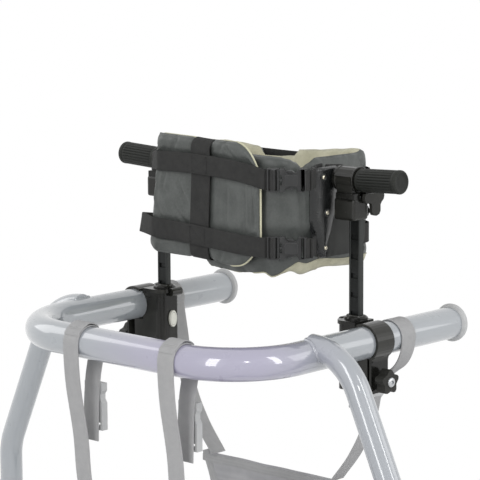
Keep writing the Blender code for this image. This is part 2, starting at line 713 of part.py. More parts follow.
# Head bracket: the collar that holds the grip, over the block that holds the post
def head_bracket(side_name, s):
    x0, x1 = sorted((s * COLLAR_X0, s * (GRIP_X0 - GAP)))
    body = cylinder("head_bracket_" + side_name, COLLAR_R, x0, x1, "X", (0, POST_Y, GRIP_Z),
                    BLACK_GLOSS, 20)
    a, b = sorted((s * SPIGOT_X0, s * (COLLAR_X0 + 0.004)))
    join(body, cylinder("head_spigot_" + side_name, SPIGOT_R, a, b, "X", (0, POST_Y, GRIP_Z), None, 20))
    # neck under the collar, an arm to the outside, the socket block and the lug behind the post
    a, b = sorted((s * (BRACKET_X[0] + 0.0015), s * (GRIP_X0 - 0.0008)))
    join(body, box("head_neck_" + side_name, (a, -0.0140, BRACKET_Z[1] - 0.006), (b, -0.0060, GRIP_Z - 0.005),
                   None))
    a, b = sorted((s * (BRACKET_X[0] + 0.0015), s * (BRACKET_X[1] - 0.0010)))
    join(body, box("head_arm_" + side_name, (a, -0.0160, BRACKET_Z[1] - 0.006),
                   (b, -0.0060, GRIP_Z - GRIP_R - 0.0008), None))
    a, b = sorted((s * BRACKET_X[0], s * BRACKET_X[1]))
    join(body, box("head_block_" + side_name, (a, BRACKET_Y[0], BRACKET_Z[0]),
                   (b, BRACKET_Y[1], BRACKET_Z[1]), None, 0.0030))
    a, b = sorted((s * (POST_X - 0.010), s * (BRACKET_X[1] - 0.0002)))
    join(body, box("head_lug_" + side_name, (a, BRACKET_Y[1] - 0.004, LOCK_Z + LOCK_R + 0.0015),
                   (b, WING_Y + 0.0065, GRIP_Z - GRIP_R - 0.0008), None))
    a, b = sorted((s * (POST_X - POST_W / 2 - GAP), s * (POST_X + POST_W / 2 + GAP)))
    cut(body, box("head_post_way_" + side_name, (a, POST_Y - POST_D / 2 - GAP, TUBE_H + 0.10),
                  (b, POST_Y + POST_D / 2 + GAP, POST_TOP + GAP), None))
    cut(body, cylinder("head_lock_way_" + side_name, SCREW_R + GAP, POST_Y + POST_D / 2 - 0.001, 0.03, "Y",
                       (s * LOCK_X, 0, LOCK_Z), None, 12))
    cut(body, cylinder("head_wing_way_" + side_name, SCREW_R + GAP,
                       *sorted((s * (BRACKET_X[1] - 0.009), s * 0.18)), "X", (0, WING_Y, WING_Z), None, 12))
    return body


# Ribbed hand grip with a domed end, turned and then fluted
def grip(side_name, s):
    ribs = 18
    rings = []
    stations = [(0.0, 0.96), (0.002, 1.0), (GRIP_LEN - 0.010, 1.0), (GRIP_LEN - 0.004, 0.96),
                (GRIP_LEN - 0.001, 0.82), (GRIP_LEN, 0.60)]
    across = Vector((0, 1, 0))
    along = Vector((s * math.cos(GRIP_TILT), 0, math.sin(GRIP_TILT)))
    upward = Vector((-s * math.sin(GRIP_TILT), 0, math.cos(GRIP_TILT)))
    start = Vector((s * (GRIP_X0 + GRIP_R * math.sin(GRIP_TILT) + GAP), POST_Y, GRIP_Z))
    for place, scale in stations:
        depth = 0.055 if scale == 1.0 else 0.02
        ring = []
        for i in range(ribs * 2):
            a = 2 * math.pi * i / (ribs * 2)
            r = GRIP_R * scale * (1.0 if i % 2 else 1.0 - depth)
            ring.append(start + along * place + across * (r * math.cos(a)) + upward * (r * math.sin(a)))
        rings.append(ring)
    return loft("grip_" + side_name, rings, GRIP_RUBBER)


# Wing lever on the outer side of the lug: two short arms and one hanging tab
def wing_knob(side_name, s):
    x = s * WING_X
    outline = [(-0.0160, 0.0050), (-0.0175, 0.0020), (-0.0175, -0.0020), (-0.0155, -0.0055),
               (-0.0065, -0.0062), (-0.0048, -0.0085), (-0.0046, -0.0165), (-0.0022, -0.0205),
               (0.0032, -0.0219), (0.0085, -0.0203), (0.0108, -0.0165), (0.0108, -0.0092),
               (0.0130, -0.0062), (0.0165, -0.0032), (0.0177, 0.0010), (0.0160, 0.0050)]
    low, high = sorted((x, x + s * WING_T))
    body = prism("wing_knob_" + side_name, [(WING_Y + u, WING_Z + v) for u, v in outline], "X", low, high,
                 BLACK_MATTE)
    set_origin(body, (x, WING_Y, WING_Z))
    back, front = sorted((x - s * 0.0085, x + s * 0.002))
    join(body, cylinder("wing_screw_" + side_name, SCREW_R, back, front, "X", (0, WING_Y, WING_Z), None, 12))
    return body


# Knurled lock knob behind the socket
def lock_knob(side_name, s):
    x, y = s * LOCK_X, BRACKET_Y[1] + 0.0005
    outline = []
    for i in range(24):
        a = 2 * math.pi * i / 24
        r = LOCK_R if i % 2 else LOCK_R - 0.0006
        outline.append((x + r * math.cos(a), LOCK_Z + r * math.sin(a)))
    body = prism("lock_knob_" + side_name, outline, "Y", y, y + 0.0045, BLACK_MATTE)
    set_origin(body, (x, y, LOCK_Z))
    join(body, cylinder("lock_screw_" + side_name, SCREW_R, POST_Y + POST_D / 2 + 0.0006, y + 0.002, "Y",
                        (x, 0, LOCK_Z), None, 12))
    return body


# Curved side plate: a shell with a straight top and a tapered round foot
def side_plate(side_name, s):
    rows, cols = 9, 6
    middle_y = (PLATE_Y0 + PLATE_Y1) / 2
    rings = []
    for i in range(rows + 1):
        t = i / rows
        z = PLATE_TOP + (PLATE_LOW - PLATE_TOP) * t
        # below the shoulder the plate narrows to its round foot
        fall = max(t - PLATE_SHOULDER, 0.0) / (1.0 - PLATE_SHOULDER)
        taper = 0.35 * math.sqrt(1.0 - 0.98 * fall ** 2) + 0.65 * (1.0 - fall) + 0.10
        half = (PLATE_Y1 - PLATE_Y0) / 2 * min(taper, 1.0)
        half = max(half, PLATE_FOOT)
        shift = -0.004 * max(t - PLATE_SHOULDER, 0)
        ring = []
        for k in range(cols + 1):
            v = -1 + 2 * k / cols
            bow = 0.0045 * (1 - v * v)
            ring.append((s * (PAD_HALF_X + PLATE_OFF + PLATE_T + bow), middle_y + shift + half * v, z))
        for k in range(cols + 1):
            v = 1 - 2 * k / cols
            bow = 0.0035 * (1 - v * v)
            ring.append((s * (PAD_HALF_X + PLATE_OFF + bow), middle_y + shift + half * v, z))
        rings.append(ring)
    body = loft("side_plate_" + side_name, rings, BLACK_GLOSS)
    a, b = sorted((s * (SPIGOT_X0 - GAP), s * 0.20))
    cut(body, box("plate_clear_" + side_name, (a, -0.018, TUBE_H + 0.12), (b, 0.03, TUBE_H + 0.21), None))
    return body


for side_name, s in SIDES:
    head_bracket(side_name, s)
    grip(side_name, s)
    wing_knob(side_name, s)
    lock_knob(side_name, s)
    side_plate(side_name, s)


# Plan line of the pad loop, as points with outward normals, by distance from the near middle
def loop_line(half_x, near, far, corner, far_corner):
    points = [(0.0, near)]
    points += arc(half_x - corner, near + corner, corner, -90, 0, 8)
    points += arc(half_x - far_corner, far - far_corner, far_corner, 0, 90, 8)
    points += arc(-half_x + far_corner, far - far_corner, far_corner, 90, 180, 8)
    points += arc(-half_x + corner, near + corner, corner, 180, 270, 8)
    points.append((0.0, near))
    return [Vector((u, v, 0)) for u, v in points]


def walk(points, start, stop, count):
    lengths = [0.0]
    for a, b in zip(points, points[1:]):
        lengths.append(lengths[-1] + (b - a).length)
    total = lengths[-1]
    out = []
    for i in range(count + 1):
        d = (start + (stop - start) * i / count) % total
        for k in range(len(points) - 1):
            if lengths[k + 1] >= d and lengths[k + 1] > lengths[k]:
                t = (d - lengths[k]) / (lengths[k + 1] - lengths[k])
                here = points[k].lerp(points[k + 1], t)
                way = (points[k + 1] - points[k]).normalized()
                break
        out.append((here, Vector((way.y, -way.x, 0)), d))
    return out, total


# One pad: a thick band with a crown and drawn-in edges. The shape gives its two edges' heights and
# its fullness along the band, and the lean slants its first end.
def pad(name, line, start, stop, count, thick, low, top, crown, shape, mat, lean=0.0):
    stations, total = walk(line, start, stop, count)
    profile = [(0.0, 0.0), (0.10, 0.62), (0.28, 0.94), (0.5, 1.0), (0.72, 0.94), (0.90, 0.62), (1.0, 0.0)]
    rings = []
    for i, (here, out, d) in enumerate(stations):
        t = i / count
        end = min(t, 1 - t) / 0.05
        fill = math.sqrt(min(end, 1.0)) * 0.8 + 0.2
        z0, z1, puff = shape(t, low, top)
        half = thick / 2 * fill
        slant = lean * (1 - t) ** 2
        edge = 0.0016
        ring = []
        for u, full in profile:
            r = -thick / 2 + edge + (half - edge + crown * puff) * full
            ring.append(here + out * r + Vector((slant * (2 * u - 1), 0, z0 + (z1 - z0) * u)))
        for u, full in reversed(profile):
            r = -thick / 2 - edge - (half - edge) * full
            ring.append(here + out * r + Vector((slant * (2 * u - 1), 0, z0 + (z1 - z0) * u)))
        rings.append(ring)
    return loft(name, rings, mat)


# the wrap's upper edge dips where it folds at the right front, and slumps round the far side
WRAP_TOP_LINE = ((-0.010, 0.0), (0.110, 0.0003), (0.122, -0.0022), (0.138, -0.0063), (0.147, -0.0138),
                 (0.158, -0.0102), (0.172, -0.0043), (0.290, -0.0025), (0.3406, -0.009), (0.379, -0.0175),
                 (0.4326, -0.0216), (0.468, -0.020), (0.508, -0.006), (0.610, -0.006))


def wrap_shape(t, low, top):
    d = WRAP_START + (WRAP_STOP - WRAP_START) * t
    channel = 0.5 + 0.5 * math.cos(2 * math.pi * t * 9)
    rise = 0.0
    for (d0, z0), (d1, z1) in zip(WRAP_TOP_LINE, WRAP_TOP_LINE[1:]):
        if d0 <= d <= d1:
            rise = z0 + (z1 - z0) * (d - d0) / (d1 - d0)
    return low - 0.0035 + 0.009 * max(1 - t / 0.03, 0.0), top + rise, 0.6 * channel


def flap_shape(t, low, top):
    round_top = max((t - 0.76) / 0.24, 0.0)
    round_low = max((t - 0.80) / 0.20, 0.0)
    round_start = max((0.07 - t) / 0.07, 0.0)
    sag = 0.0035 * math.exp(-((t - 0.72) / 0.12) ** 2)
    return (low - sag + 0.030 * round_low ** 2.0 + 0.011 * round_start ** 2.0,
            top - 0.036 * round_top ** 2.4 - 0.003 * t,
            0.4 + 0.5 * math.sin(math.pi * t))


wrap_line = loop_line(PAD_HALF_X, PAD_NEAR_Y, PAD_FAR_Y, PAD_CORNER, PAD_FAR_CORNER)
pad("trunk_pad_wrap", wrap_line, WRAP_START, WRAP_STOP, 44, PAD_T, PAD_LOW, PAD_TOP, 0.0015,
    wrap_shape, PAD_VINYL)
flap_line = loop_line(PAD_HALF_X + FLAP_T + 0.003, PAD_NEAR_Y - FLAP_T - 0.003, PAD_FAR_Y + FLAP_T,
                      PAD_CORNER + FLAP_T, PAD_CORNER + FLAP_T)
flap_total = walk(flap_line, 0, 0, 1)[1]
pad("trunk_pad_flap", flap_line, flap_total + FLAP_START, flap_total + FLAP_STOP, 30, FLAP_T,
    FLAP_LOW, FLAP_TOP, 0.0010, flap_shape, PAD_VINYL, FLAP_LEAN)


# Webbing: each strap starts at the left side plate, runs free to the flap's left edge and crosses
# the flap clear of its crown. The lower one stands further out.
web_line = loop_line(PAD_HALF_X + FLAP_T + 0.0062, PAD_NEAR_Y - FLAP_T - 0.0062, PAD_FAR_Y + FLAP_T,
                     PAD_CORNER + FLAP_T + 0.003, PAD_CORNER + FLAP_T + 0.003)
web_total = walk(web_line, 0, 0, 1)[1]


def web_path(z, rise, run, free, start):
    over_flap = walk(web_line, web_total + start, web_total + WEB_STOP, 16)[0]
    plan = list(free) + [(here.x, here.y) for here, out, d in over_flap]
    return [Vector((u, v, z + rise * (1 - math.exp(-max(PLUG_X - u, 0.0) / run)))) for u, v in plan]


strap("upper_strap", web_path(UPPER_Z, UPPER_RISE, UPPER_RUN, UPPER_FREE, -0.0525), (0, 0, 1), WEB_W, WEBBING)
strap("lower_strap", web_path(LOWER_Z, LOWER_RISE, LOWER_RUN, LOWER_FREE, -0.0625), (0, 0, 1), WEB_W, WEBBING)
over = web_line[0].y - 0.0022
cross_path = []
for v, z in ((-0.0888, FLAP_TOP - 0.0090), (-0.0905, FLAP_TOP - 0.0030), (-0.0970, FLAP_TOP + 0.0012),
             (-0.1040, FLAP_TOP - 0.0030), (over, FLAP_TOP - 0.0125), (over, UPPER_Z), (over, LOWER_Z),
             (over, LOWER_Z - 0.0040), (over + 0.0010, FLAP_LOW - 0.0015), (-0.1040, FLAP_LOW - 0.0065),
             (-0.0975, FLAP_LOW - 0.0070)):
    share = (z - FLAP_LOW) / (FLAP_TOP - FLAP_LOW)
    cross_path.append((CROSS_X + CROSS_LEAN * (2 * share - 1), v, z))
strap("cross_strap", cross_path, (1, 0, -2 * CROSS_LEAN / (FLAP_TOP - FLAP_LOW)), CROSS_W, WEBBING)


# Side-release buckles: a hollow body and a plug with two prongs that slides out of it
def buckle(level, z):
    way = Vector((math.cos(BUCKLE_YAW), math.sin(BUCKLE_YAW), 0))
    turn = Matrix.Translation((PLUG_X, PLUG_Y, z)) @ Matrix.Rotation(BUCKLE_YAW, 4, "Z")
    half_w, half_t = BUCKLE_W / 2, BUCKLE_T / 2
    waist = half_w - 0.0035
    outline = [(PLUG_L, -half_w), (PLUG_L + 0.008, -half_w), (PLUG_L + 0.013, -waist),
               (PLUG_L + 0.018, -waist), (PLUG_L + 0.022, -half_w), (PLUG_L + BUCKLE_L, -half_w + 0.002)]
    outline += [(u, -v) for u, v in reversed(outline)]
    body = prism("buckle_body_" + level, outline, "Y", -half_t, half_t, BLACK_MATTE)
    body.data.transform(turn)
    wall = 0.0018
    pocket = box("buckle_pocket_" + level, (PLUG_L - 0.001, -half_t + wall, -half_w + 0.0055),
                 (PLUG_L + PRONG_L + 0.002, half_t - wall, half_w - 0.0055), None)
    slot = box("buckle_slot_" + level, (PLUG_L + BUCKLE_L - 0.0075, -0.02, -half_w + 0.0018),
               (PLUG_L + BUCKLE_L - 0.0035, 0.02, half_w - 0.0018), None)
    for cutter in (pocket, slot):
        cutter.data.transform(Matrix.Translation(cutter.location))
        cutter.location = (0, 0, 0)
        cutter.data.transform(turn)
        cut(body, cutter)
    frame = [(0.0, -half_w), (PLUG_L - GAP, -half_w), (PLUG_L - GAP, half_w), (0.0, half_w)]
    plug = prism("buckle_plug_" + level, frame, "Y", -half_t + 0.0008, half_t - 0.0008, BLACK_MATTE)
    plug.data.transform(turn)
    prong = box("plug_prongs_" + level, (PLUG_L - 0.002, -half_t + wall + GAP, -half_w + 0.0060),
                (PLUG_L + PRONG_L, half_t - wall - GAP, half_w - 0.0060), None)
    split = box("plug_split_" + level, (PLUG_L + 0.003, -0.02, -0.0045),
                (PLUG_L + PRONG_L + 0.01, 0.02, 0.0045), None)
    window = box("plug_window_" + level, (0.0026, -0.02, -half_w + 0.0018),
                 (PLUG_L - 0.0035, 0.02, half_w - 0.0018), None)
    for shape in (prong, split, window):
        shape.data.transform(Matrix.Translation(shape.location))
        shape.location = (0, 0, 0)
        shape.data.transform(turn)
    join(plug, prong)
    cut(plug, split)
    cut(plug, window)
    place = Vector((PLUG_X, PLUG_Y, z)) + way * PLUG_L
    set_origin(plug, place)


for level, z in (("upper", UPPER_Z), ("lower", LOWER_Z)):
    buckle(level, z)


# Hip sling: four straps looped over the tube and a cloth seat between them
def front_strap(side_name, x):
    r = TUBE_R + 0.0018
    path = [(SLING_FRONT_Y - BAR_Y - 0.004, SLING_FRONT_Z - TUBE_H + 0.0015), (-0.004, -0.110),
            (-r + 0.001, -0.030)]
    path += arc(0, 0, r, 185, -5, 12)
    path += [(r - 0.0015, -0.026), (0.0125, -0.047), (0.0100, -0.118)]
    points = [(x, BAR_Y + u, TUBE_H + v) for u, v in path]
    strap("sling_strap_front_" + side_name, points, (1, 0, 0), WEB_W, PALE_WEBBING)


def rear_strap(side_name, s):
    r = TUBE_R + 0.0011
    path = [(-ARM_X + 0.098, SLING_REAR_Z - TUBE_H + 0.0015), (-ARM_X + 0.150, -0.115),
            (-r - 0.004, -0.036)]
    path += arc(0, 0, r, 200, 0, 12)
    path += [(r - 0.003, -0.018), (0.006, -0.036), (-0.014, -0.050), (-0.032, -0.0745)]
    points = [(s * (ARM_X + u), REAR_STRAP_Y, TUBE_H + v) for u, v in path]
    strap("sling_strap_rear_" + side_name, points, (0, 1, 0), WEB_W, PALE_WEBBING)


front_strap("left", FRONT_STRAP_X[0])
front_strap("right", FRONT_STRAP_X[1])
for side_name, s in SIDES:
    rear_strap(side_name, s)


# The seat: a saddle of cloth, wide at front and back and narrow between the legs
def sling_seat():
    rows, cols = 20, 10
    rings = []
    for i in range(rows + 1):
        t = i / rows
        y = SLING_FRONT_Y + (SLING_REAR_Y - SLING_FRONT_Y) * (0.5 - 0.5 * math.cos(math.pi * t))
        edge_z = SLING_FRONT_Z + (SLING_REAR_Z - SLING_FRONT_Z) * t
        z = edge_z - (edge_z - SLING_LOW_Z) * math.sin(math.pi * t) ** 0.8
        half = 0.064 + 0.050 * (2 * t - 1) ** 2 + 0.012 * t
        middle = (FRONT_STRAP_X[0] + FRONT_STRAP_X[1]) / 2 * (1 - t)
        lean = math.cos(math.pi * t)
        ring = []
        for side in (1, -1):
            for k in range(cols + 1):
                v = side * (-1 + 2 * k / cols)
                lift = 0.016 * v * v * math.sin(math.pi * t)
                thick = SLING_T / 2 * (1.0 - 0.6 * v ** 8)
                ring.append((middle + half * v, y + side * thick * lean * 0.9,
                             z + lift + side * thick * (1 - abs(lean) * 0.7)))
        rings.append(ring)
    return loft("sling_seat", rings, PALE_WEBBING)


sling_seat()


# Side-release buckles on the rear layers of the front straps
def sling_buckle(side_name, x):
    y = BAR_Y + 0.0145
    z = TUBE_H - 0.078
    half = 0.0145
    outline = [(x - half, z - 0.028), (x + half, z - 0.028), (x + half, z + 0.004),
               (x + half - 0.003, z + 0.009), (x + half - 0.003, z + 0.015), (x + half, z + 0.019),
               (x + half, z + 0.028),
               (x - half, z + 0.028), (x - half, z + 0.019), (x - half + 0.003, z + 0.015),
               (x - half + 0.003, z + 0.009), (x - half, z + 0.004)]
    body = prism("sling_buckle_" + side_name, outline, "Y", y, y + 0.0085, GREY_PLASTIC)
    slot = box("sling_buckle_slot_" + side_name, (x - 0.011, y - 0.01, z - 0.024),
               (x + 0.011, y + 0.02, z - 0.019), None)
    cut(body, slot)
    return body


sling_buckle("left", FRONT_STRAP_X[0])
sling_buckle("right", FRONT_STRAP_X[1])
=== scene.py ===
"""How the gait trainer looks: a pale tube frame on casters with a hanging hip sling, and a black
trunk support with a padded chest loop, clamped to the frame's two arms.

Metres, +Z up. The crossbar is at -Y, the open end at +Y, and the floor is at z = 0.
"""
import json
import math

import bmesh
import bpy
import numpy as np
from mathutils import Matrix, Vector, noise
from mathutils.bvhtree import BVHTree

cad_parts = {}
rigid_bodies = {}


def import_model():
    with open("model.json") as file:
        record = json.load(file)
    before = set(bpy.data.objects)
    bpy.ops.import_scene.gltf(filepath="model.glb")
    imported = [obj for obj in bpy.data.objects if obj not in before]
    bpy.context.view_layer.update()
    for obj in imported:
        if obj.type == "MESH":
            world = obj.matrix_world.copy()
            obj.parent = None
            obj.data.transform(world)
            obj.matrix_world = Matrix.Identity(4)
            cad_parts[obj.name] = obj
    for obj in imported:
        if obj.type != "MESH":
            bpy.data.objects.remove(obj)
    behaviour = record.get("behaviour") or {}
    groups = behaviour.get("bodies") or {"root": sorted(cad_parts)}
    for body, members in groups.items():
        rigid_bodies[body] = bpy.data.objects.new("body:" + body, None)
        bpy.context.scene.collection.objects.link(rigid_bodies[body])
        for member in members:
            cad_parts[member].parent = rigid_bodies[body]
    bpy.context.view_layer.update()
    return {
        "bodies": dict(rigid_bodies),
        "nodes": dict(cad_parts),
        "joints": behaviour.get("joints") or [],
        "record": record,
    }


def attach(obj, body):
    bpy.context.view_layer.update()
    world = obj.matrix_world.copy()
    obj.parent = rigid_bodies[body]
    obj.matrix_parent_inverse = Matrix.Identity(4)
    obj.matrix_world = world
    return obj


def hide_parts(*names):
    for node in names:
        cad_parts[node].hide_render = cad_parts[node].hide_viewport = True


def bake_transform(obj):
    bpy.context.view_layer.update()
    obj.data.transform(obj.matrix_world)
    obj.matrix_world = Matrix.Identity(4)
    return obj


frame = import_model()
SIDES = (("left", -1), ("right", 1))

# The camera stands far off at the front left corner, a little above the handle tube, and looks
# slightly down. Its long lens makes the view almost parallel.
CAMERA_AT = Vector((1.83808, -2.00530, 1.16788))
CAMERA_YAW = math.radians(42.9238)
CAMERA_PITCH = math.radians(8.9888)
CAMERA_ROLL = math.radians(0.3136)

forward = Vector((-math.sin(CAMERA_YAW) * math.cos(CAMERA_PITCH),
                  math.cos(CAMERA_YAW) * math.cos(CAMERA_PITCH), -math.sin(CAMERA_PITCH)))
level_right = Vector((math.cos(CAMERA_YAW), math.sin(CAMERA_YAW), 0.0))
level_up = level_right.cross(forward)
right = level_right * math.cos(CAMERA_ROLL) - level_up * math.sin(CAMERA_ROLL)
up = level_up * math.cos(CAMERA_ROLL) + level_right * math.sin(CAMERA_ROLL)
camera = bpy.data.objects.new("camera", bpy.data.cameras.new("camera"))
camera.data.lens = 171.6
camera.data.sensor_width = 36.0
camera.matrix_world = Matrix((
    (right.x, up.x, -forward.x, CAMERA_AT.x),
    (right.y, up.y, -forward.y, CAMERA_AT.y),
    (right.z, up.z, -forward.z, CAMERA_AT.z),
    (0.0, 0.0, 0.0, 1.0)))
bpy.context.scene.collection.objects.link(camera)
bpy.context.scene.camera = camera
bpy.context.scene.view_settings.view_transform = "Standard"


# The shader of every finish is written as sums on signals. A signal is one output of one shader
# node; adding or multiplying signals adds the nodes that work it out.
class Signal:
    """One output of a shader node in one material."""

    def __init__(self, tree, output=None):
        self.tree = tree
        self.output = output

    def node(self, kind, settings=None, values=None, give=0):
        """Adds a node: its settings first, then the values or links of its sockets."""
        made = self.tree.nodes.new("ShaderNode" + kind)
        for name, value in (settings or {}).items():
            setattr(made, name, value)
        for name, value in (values or {}).items():
            if isinstance(value, Signal):
                self.tree.links.new(value.output, made.inputs[name])
            else:
                made.inputs[name].default_value = value
        return Signal(self.tree, made.outputs[give])

    def work(self, operation, first, second=0.0):
        """A Math node, or a Vector Math node where one of the two values is a vector."""
        outputs = [value.output.type for value in (first, second) if isinstance(value, Signal)]
        kind = "VectorMath" if "VECTOR" in outputs or isinstance(second, tuple) else "Math"
        return self.node(kind, {"operation": operation}, {0: first, 1: second})

    def __add__(self, other):
        return self.work("ADD", self, other)

    def __sub__(self, other):
        return self.work("SUBTRACT", self, other)

    def __rsub__(self, other):
        return self.work("SUBTRACT", other, self)

    def __mul__(self, other):
        return self.work("MULTIPLY", self, other)

    def also(self, give):
        """Another output of the same node."""
        return Signal(self.tree, self.output.node.outputs[give])

    def noise(self, scale, detail, roughness=0.5):
        """Cloudy noise over this place, from 0 to 1."""
        return self.node("TexNoise", values={"Vector": self, "Scale": scale, "Detail": detail,
                                             "Roughness": roughness})

    def cells(self, scale):
        """The distance to the middle of the nearest of many small cells."""
        return self.node("TexVoronoi", values={"Vector": self, "Scale": scale})

    def painted_edge_light(self, low, high):
        """1 on the mesh's outer edges and 0 on its flats, for painting the edges lighter as a
        painted highlight.
        """
        return self.node("NewGeometry", give=7).ease(low, high)

    def wave(self, period):
        """1 at every whole period of this distance, 0 halfway between."""
        turn = self.work("MULTIPLY", self, 2 * math.pi / period)
        return self.work("COSINE", turn) * 0.5 + 0.5

    def length(self):
        """The length of this vector."""
        return self.node("VectorMath", {"operation": "LENGTH"}, {0: self}, give=1)

    def stretched(self, scale, turn=(0.0, 0.0, 0.0)):
        """This place, turned and then scaled along each axis."""
        return self.node("Mapping", values={"Vector": self, "Rotation": turn, "Scale": scale})

    def x_axis(self):
        """This vector's part along x. Its other parts are outputs 1 and 2 of the same node."""
        return self.node("SeparateXYZ", values={0: self})

    def ease(self, low, high):
        """0 below low, 1 above high, smooth between."""
        return self.node("MapRange", {"interpolation_type": "SMOOTHSTEP"},
                         {"Value": self, "From Min": low, "From Max": high})

    def mix(self, none, full):
        """The colour none where this signal is 0, and the colour full where it is 1."""
        none, full = [(*c, 1.0) if isinstance(c, tuple) else c for c in (none, full)]
        return self.node("Mix", {"data_type": "RGBA"}, {0: self, 6: none, 7: full}, give=2)


def tone(red, green, blue):
    """The linear colour for the display values 0 to 255."""
    return tuple(c / 12.92 if c <= 0.04045 else ((c + 0.055) / 1.055) ** 2.4
                 for c in (red / 255, green / 255, blue / 255))


def new_finish(name, colour, roughness, metallic=0.0, **constants):
    """A material with its plain values on the shader's own sockets, and its place signal."""
    made = bpy.data.materials.new(name)
    made.use_nodes = True
    shader = made.node_tree.nodes["Principled BSDF"]
    shader.inputs["Base Color"].default_value = (*colour, 1.0)
    shader.inputs["Roughness"].default_value = roughness
    shader.inputs["Metallic"].default_value = metallic
    for name, value in constants.items():
        shader.inputs[name.replace("_", " ")].default_value = value
    return made, shader, Signal(made.node_tree).node("TexCoord", give=3)


def feed(shader, **sockets):
    """Links signals to the shader's sockets that may change over a surface."""
    for name, signal in sockets.items():
        signal.tree.links.new(signal.output, shader.inputs[name.replace("_", " ")])


def relief(shader, height, depth, strength=1.0):
    """Makes a signal from 0 to 1 into fine relief of that depth, in metres."""
    bump = height.node("Bump", values={"Height": height, "Distance": depth, "Strength": strength})
    feed(shader, Normal=bump)


# The floor is a plain pale sheet, white to the camera apart from the object's soft shadow, and the
# room behind it is white. Two tall boxes and a small one stand in front and at the right, and
# give the tubes crisp highlights. Two broad soft ones light the object from the left and behind.
FLOOR_RADIUS = 9.0
FLOOR_Z = -0.0004
FLOOR_SIDES = 64
ROOM_LIGHT = 0.60
X_WAY, Y_WAY, Z_WAY = Vector((1, 0, 0)), Vector((0, 1, 0)), Vector((0, 0, 1))


def circle(centre, first, second, radius, count):
    """Points round a circle in the plane of two directions."""
    return [centre + first * (radius * math.cos(a)) + second * (radius * math.sin(a))
            for a in np.linspace(0, 2 * math.pi, count, endpoint=False)]


def seen_directly(signal):
    """1 for rays from the camera, from a mirror-like surface or through glass, otherwise 0."""
    path = signal.node("LightPath")
    found = None
    for name in ("Is Camera Ray", "Is Glossy Ray", "Is Transmission Ray"):
        ray = path.also(name)
        found = ray if found is None else signal.work("MAXIMUM", found, ray)
    return found


room = bpy.data.worlds.new("room")
bpy.context.scene.world = room
room.use_nodes = True
air = Signal(room.node_tree)
strength = seen_directly(air) * (1.0 - ROOM_LIGHT) + ROOM_LIGHT
room.node_tree.links.new(strength.output, room.node_tree.nodes["Background"].inputs["Strength"])
room.node_tree.nodes["Background"].inputs["Color"].default_value = (1.0, 1.0, 1.0, 1.0)

floor_finish, floor_shader, place = new_finish("floor_paint", (0.86, 0.86, 0.86), 0.9)
glow = place.node("Emission", values={"Color": (1.0, 1.0, 1.0, 1.0), "Strength": 1.0})
far_off = place.length().ease(0.45, 1.5)
both = place.node("MixShader", values={0: seen_directly(place) * (far_off * 0.30 + 0.70),
                                       1: Signal(place.tree, floor_shader.outputs[0]), 2: glow})
place.tree.links.new(both.output, place.tree.nodes["Material Output"].inputs["Surface"])
floor_mesh = bpy.data.meshes.new("floor")
rim = circle(Z_WAY * FLOOR_Z, X_WAY, Y_WAY, FLOOR_RADIUS, FLOOR_SIDES)
floor_mesh.from_pydata([tuple(p) for p in rim], [], [range(FLOOR_SIDES)])
floor_mesh.materials.append(floor_finish)
floor = bpy.data.objects.new("floor", floor_mesh)
bpy.context.scene.collection.objects.link(floor)


def soft_box(name, place, aim, size, watts):
    """A rectangular lamp at a place, turned to the point it lights."""
    lamp = bpy.data.objects.new(name, bpy.data.lights.new(name, "AREA"))
    lamp.data.shape = "RECTANGLE"
    lamp.data.size, lamp.data.size_y = size
    lamp.data.energy = watts
    lamp.location = place
    lamp.rotation_euler = (Vector(aim) - Vector(place)).to_track_quat("-Z", "Y").to_euler()
    bpy.context.scene.collection.objects.link(lamp)


soft_box("front_box", (0.66, -2.50, 1.62), (0.1, -0.2, 0.70), (0.60, 2.3), 20)
soft_box("middle_box", (2.37, -1.67, 2.08), (0.1, -0.2, 0.65), (0.24, 0.30), 3.5)
soft_box("right_box", (2.50, 0.00, 1.75), (0.1, -0.2, 0.70), (0.42, 2.2), 14)
soft_box("back_box", (2.30, 1.60, 1.60), (0.0, 0.0, 0.65), (1.6, 1.6), 10)
soft_box("left_box", (-2.30, -0.90, 2.00), (0.0, 0.0, 0.65), (1.6, 1.4), 12)


# The handle tube is one steel tube bent to a U, with a thick pale grey powder coat that has a
# faint lilac tint and a fine orange-peel grain.
TUBE_Z = 0.640
TUBE_R = 0.01905
ARM_X = 0.1875
ARM_END_Y = 0.137
BAR_Y = -0.231
BEND_R = 0.090
BEND_STEPS = 22
TUBE_SIDES = 48

frame_paint, shader, place = new_finish("frame_paint", tone(164, 168, 174), 0.30,
                                        Coat_Roughness=0.05, Coat_Weight=1.0, Coat_IOR=1.85)
tint = place.noise(5.0, 2.0)
grime = place.noise(60.0, 4.0)
peel = place.noise(620.0, 1.0)
axes = place.x_axis()
front = (0.0 - axes.also(1)).ease(0.09, 0.20)  # the crossbar's end, at -y
lilac = tint.ease(0.30, 0.60) * axes.ease(-0.08, 0.10) * front
feed(shader, Base_Color=lilac.mix(tone(160, 165, 170), tone(167, 164, 185)),
     Roughness=grime * 0.16 + 0.22)
relief(shader, peel, 0.00004)


def turn_arc(centre, radius, start, stop, steps, first=X_WAY, second=Y_WAY):
    """Points on an arc in the plane of two directions, with angles in degrees."""
    return [Vector(centre) + first * (radius * math.cos(a)) + second * (radius * math.sin(a))
            for a in np.radians(np.linspace(start, stop, steps + 1))]


def skin(rings, ends=True):
    """Points and faces of a surface through rings of equal length."""
    width = len(rings[0])
    points = [p for ring in rings for p in ring]
    faces = []
    for i in range(len(rings) - 1):
        for k in range(width):
            a, b = i * width + k, i * width + (k + 1) % width
            faces.append((a, b, b + width, a + width))
    if ends:
        faces.append(tuple(reversed(range(width))))
        faces.append(tuple(range(len(points) - width, len(points))))
    return points, faces


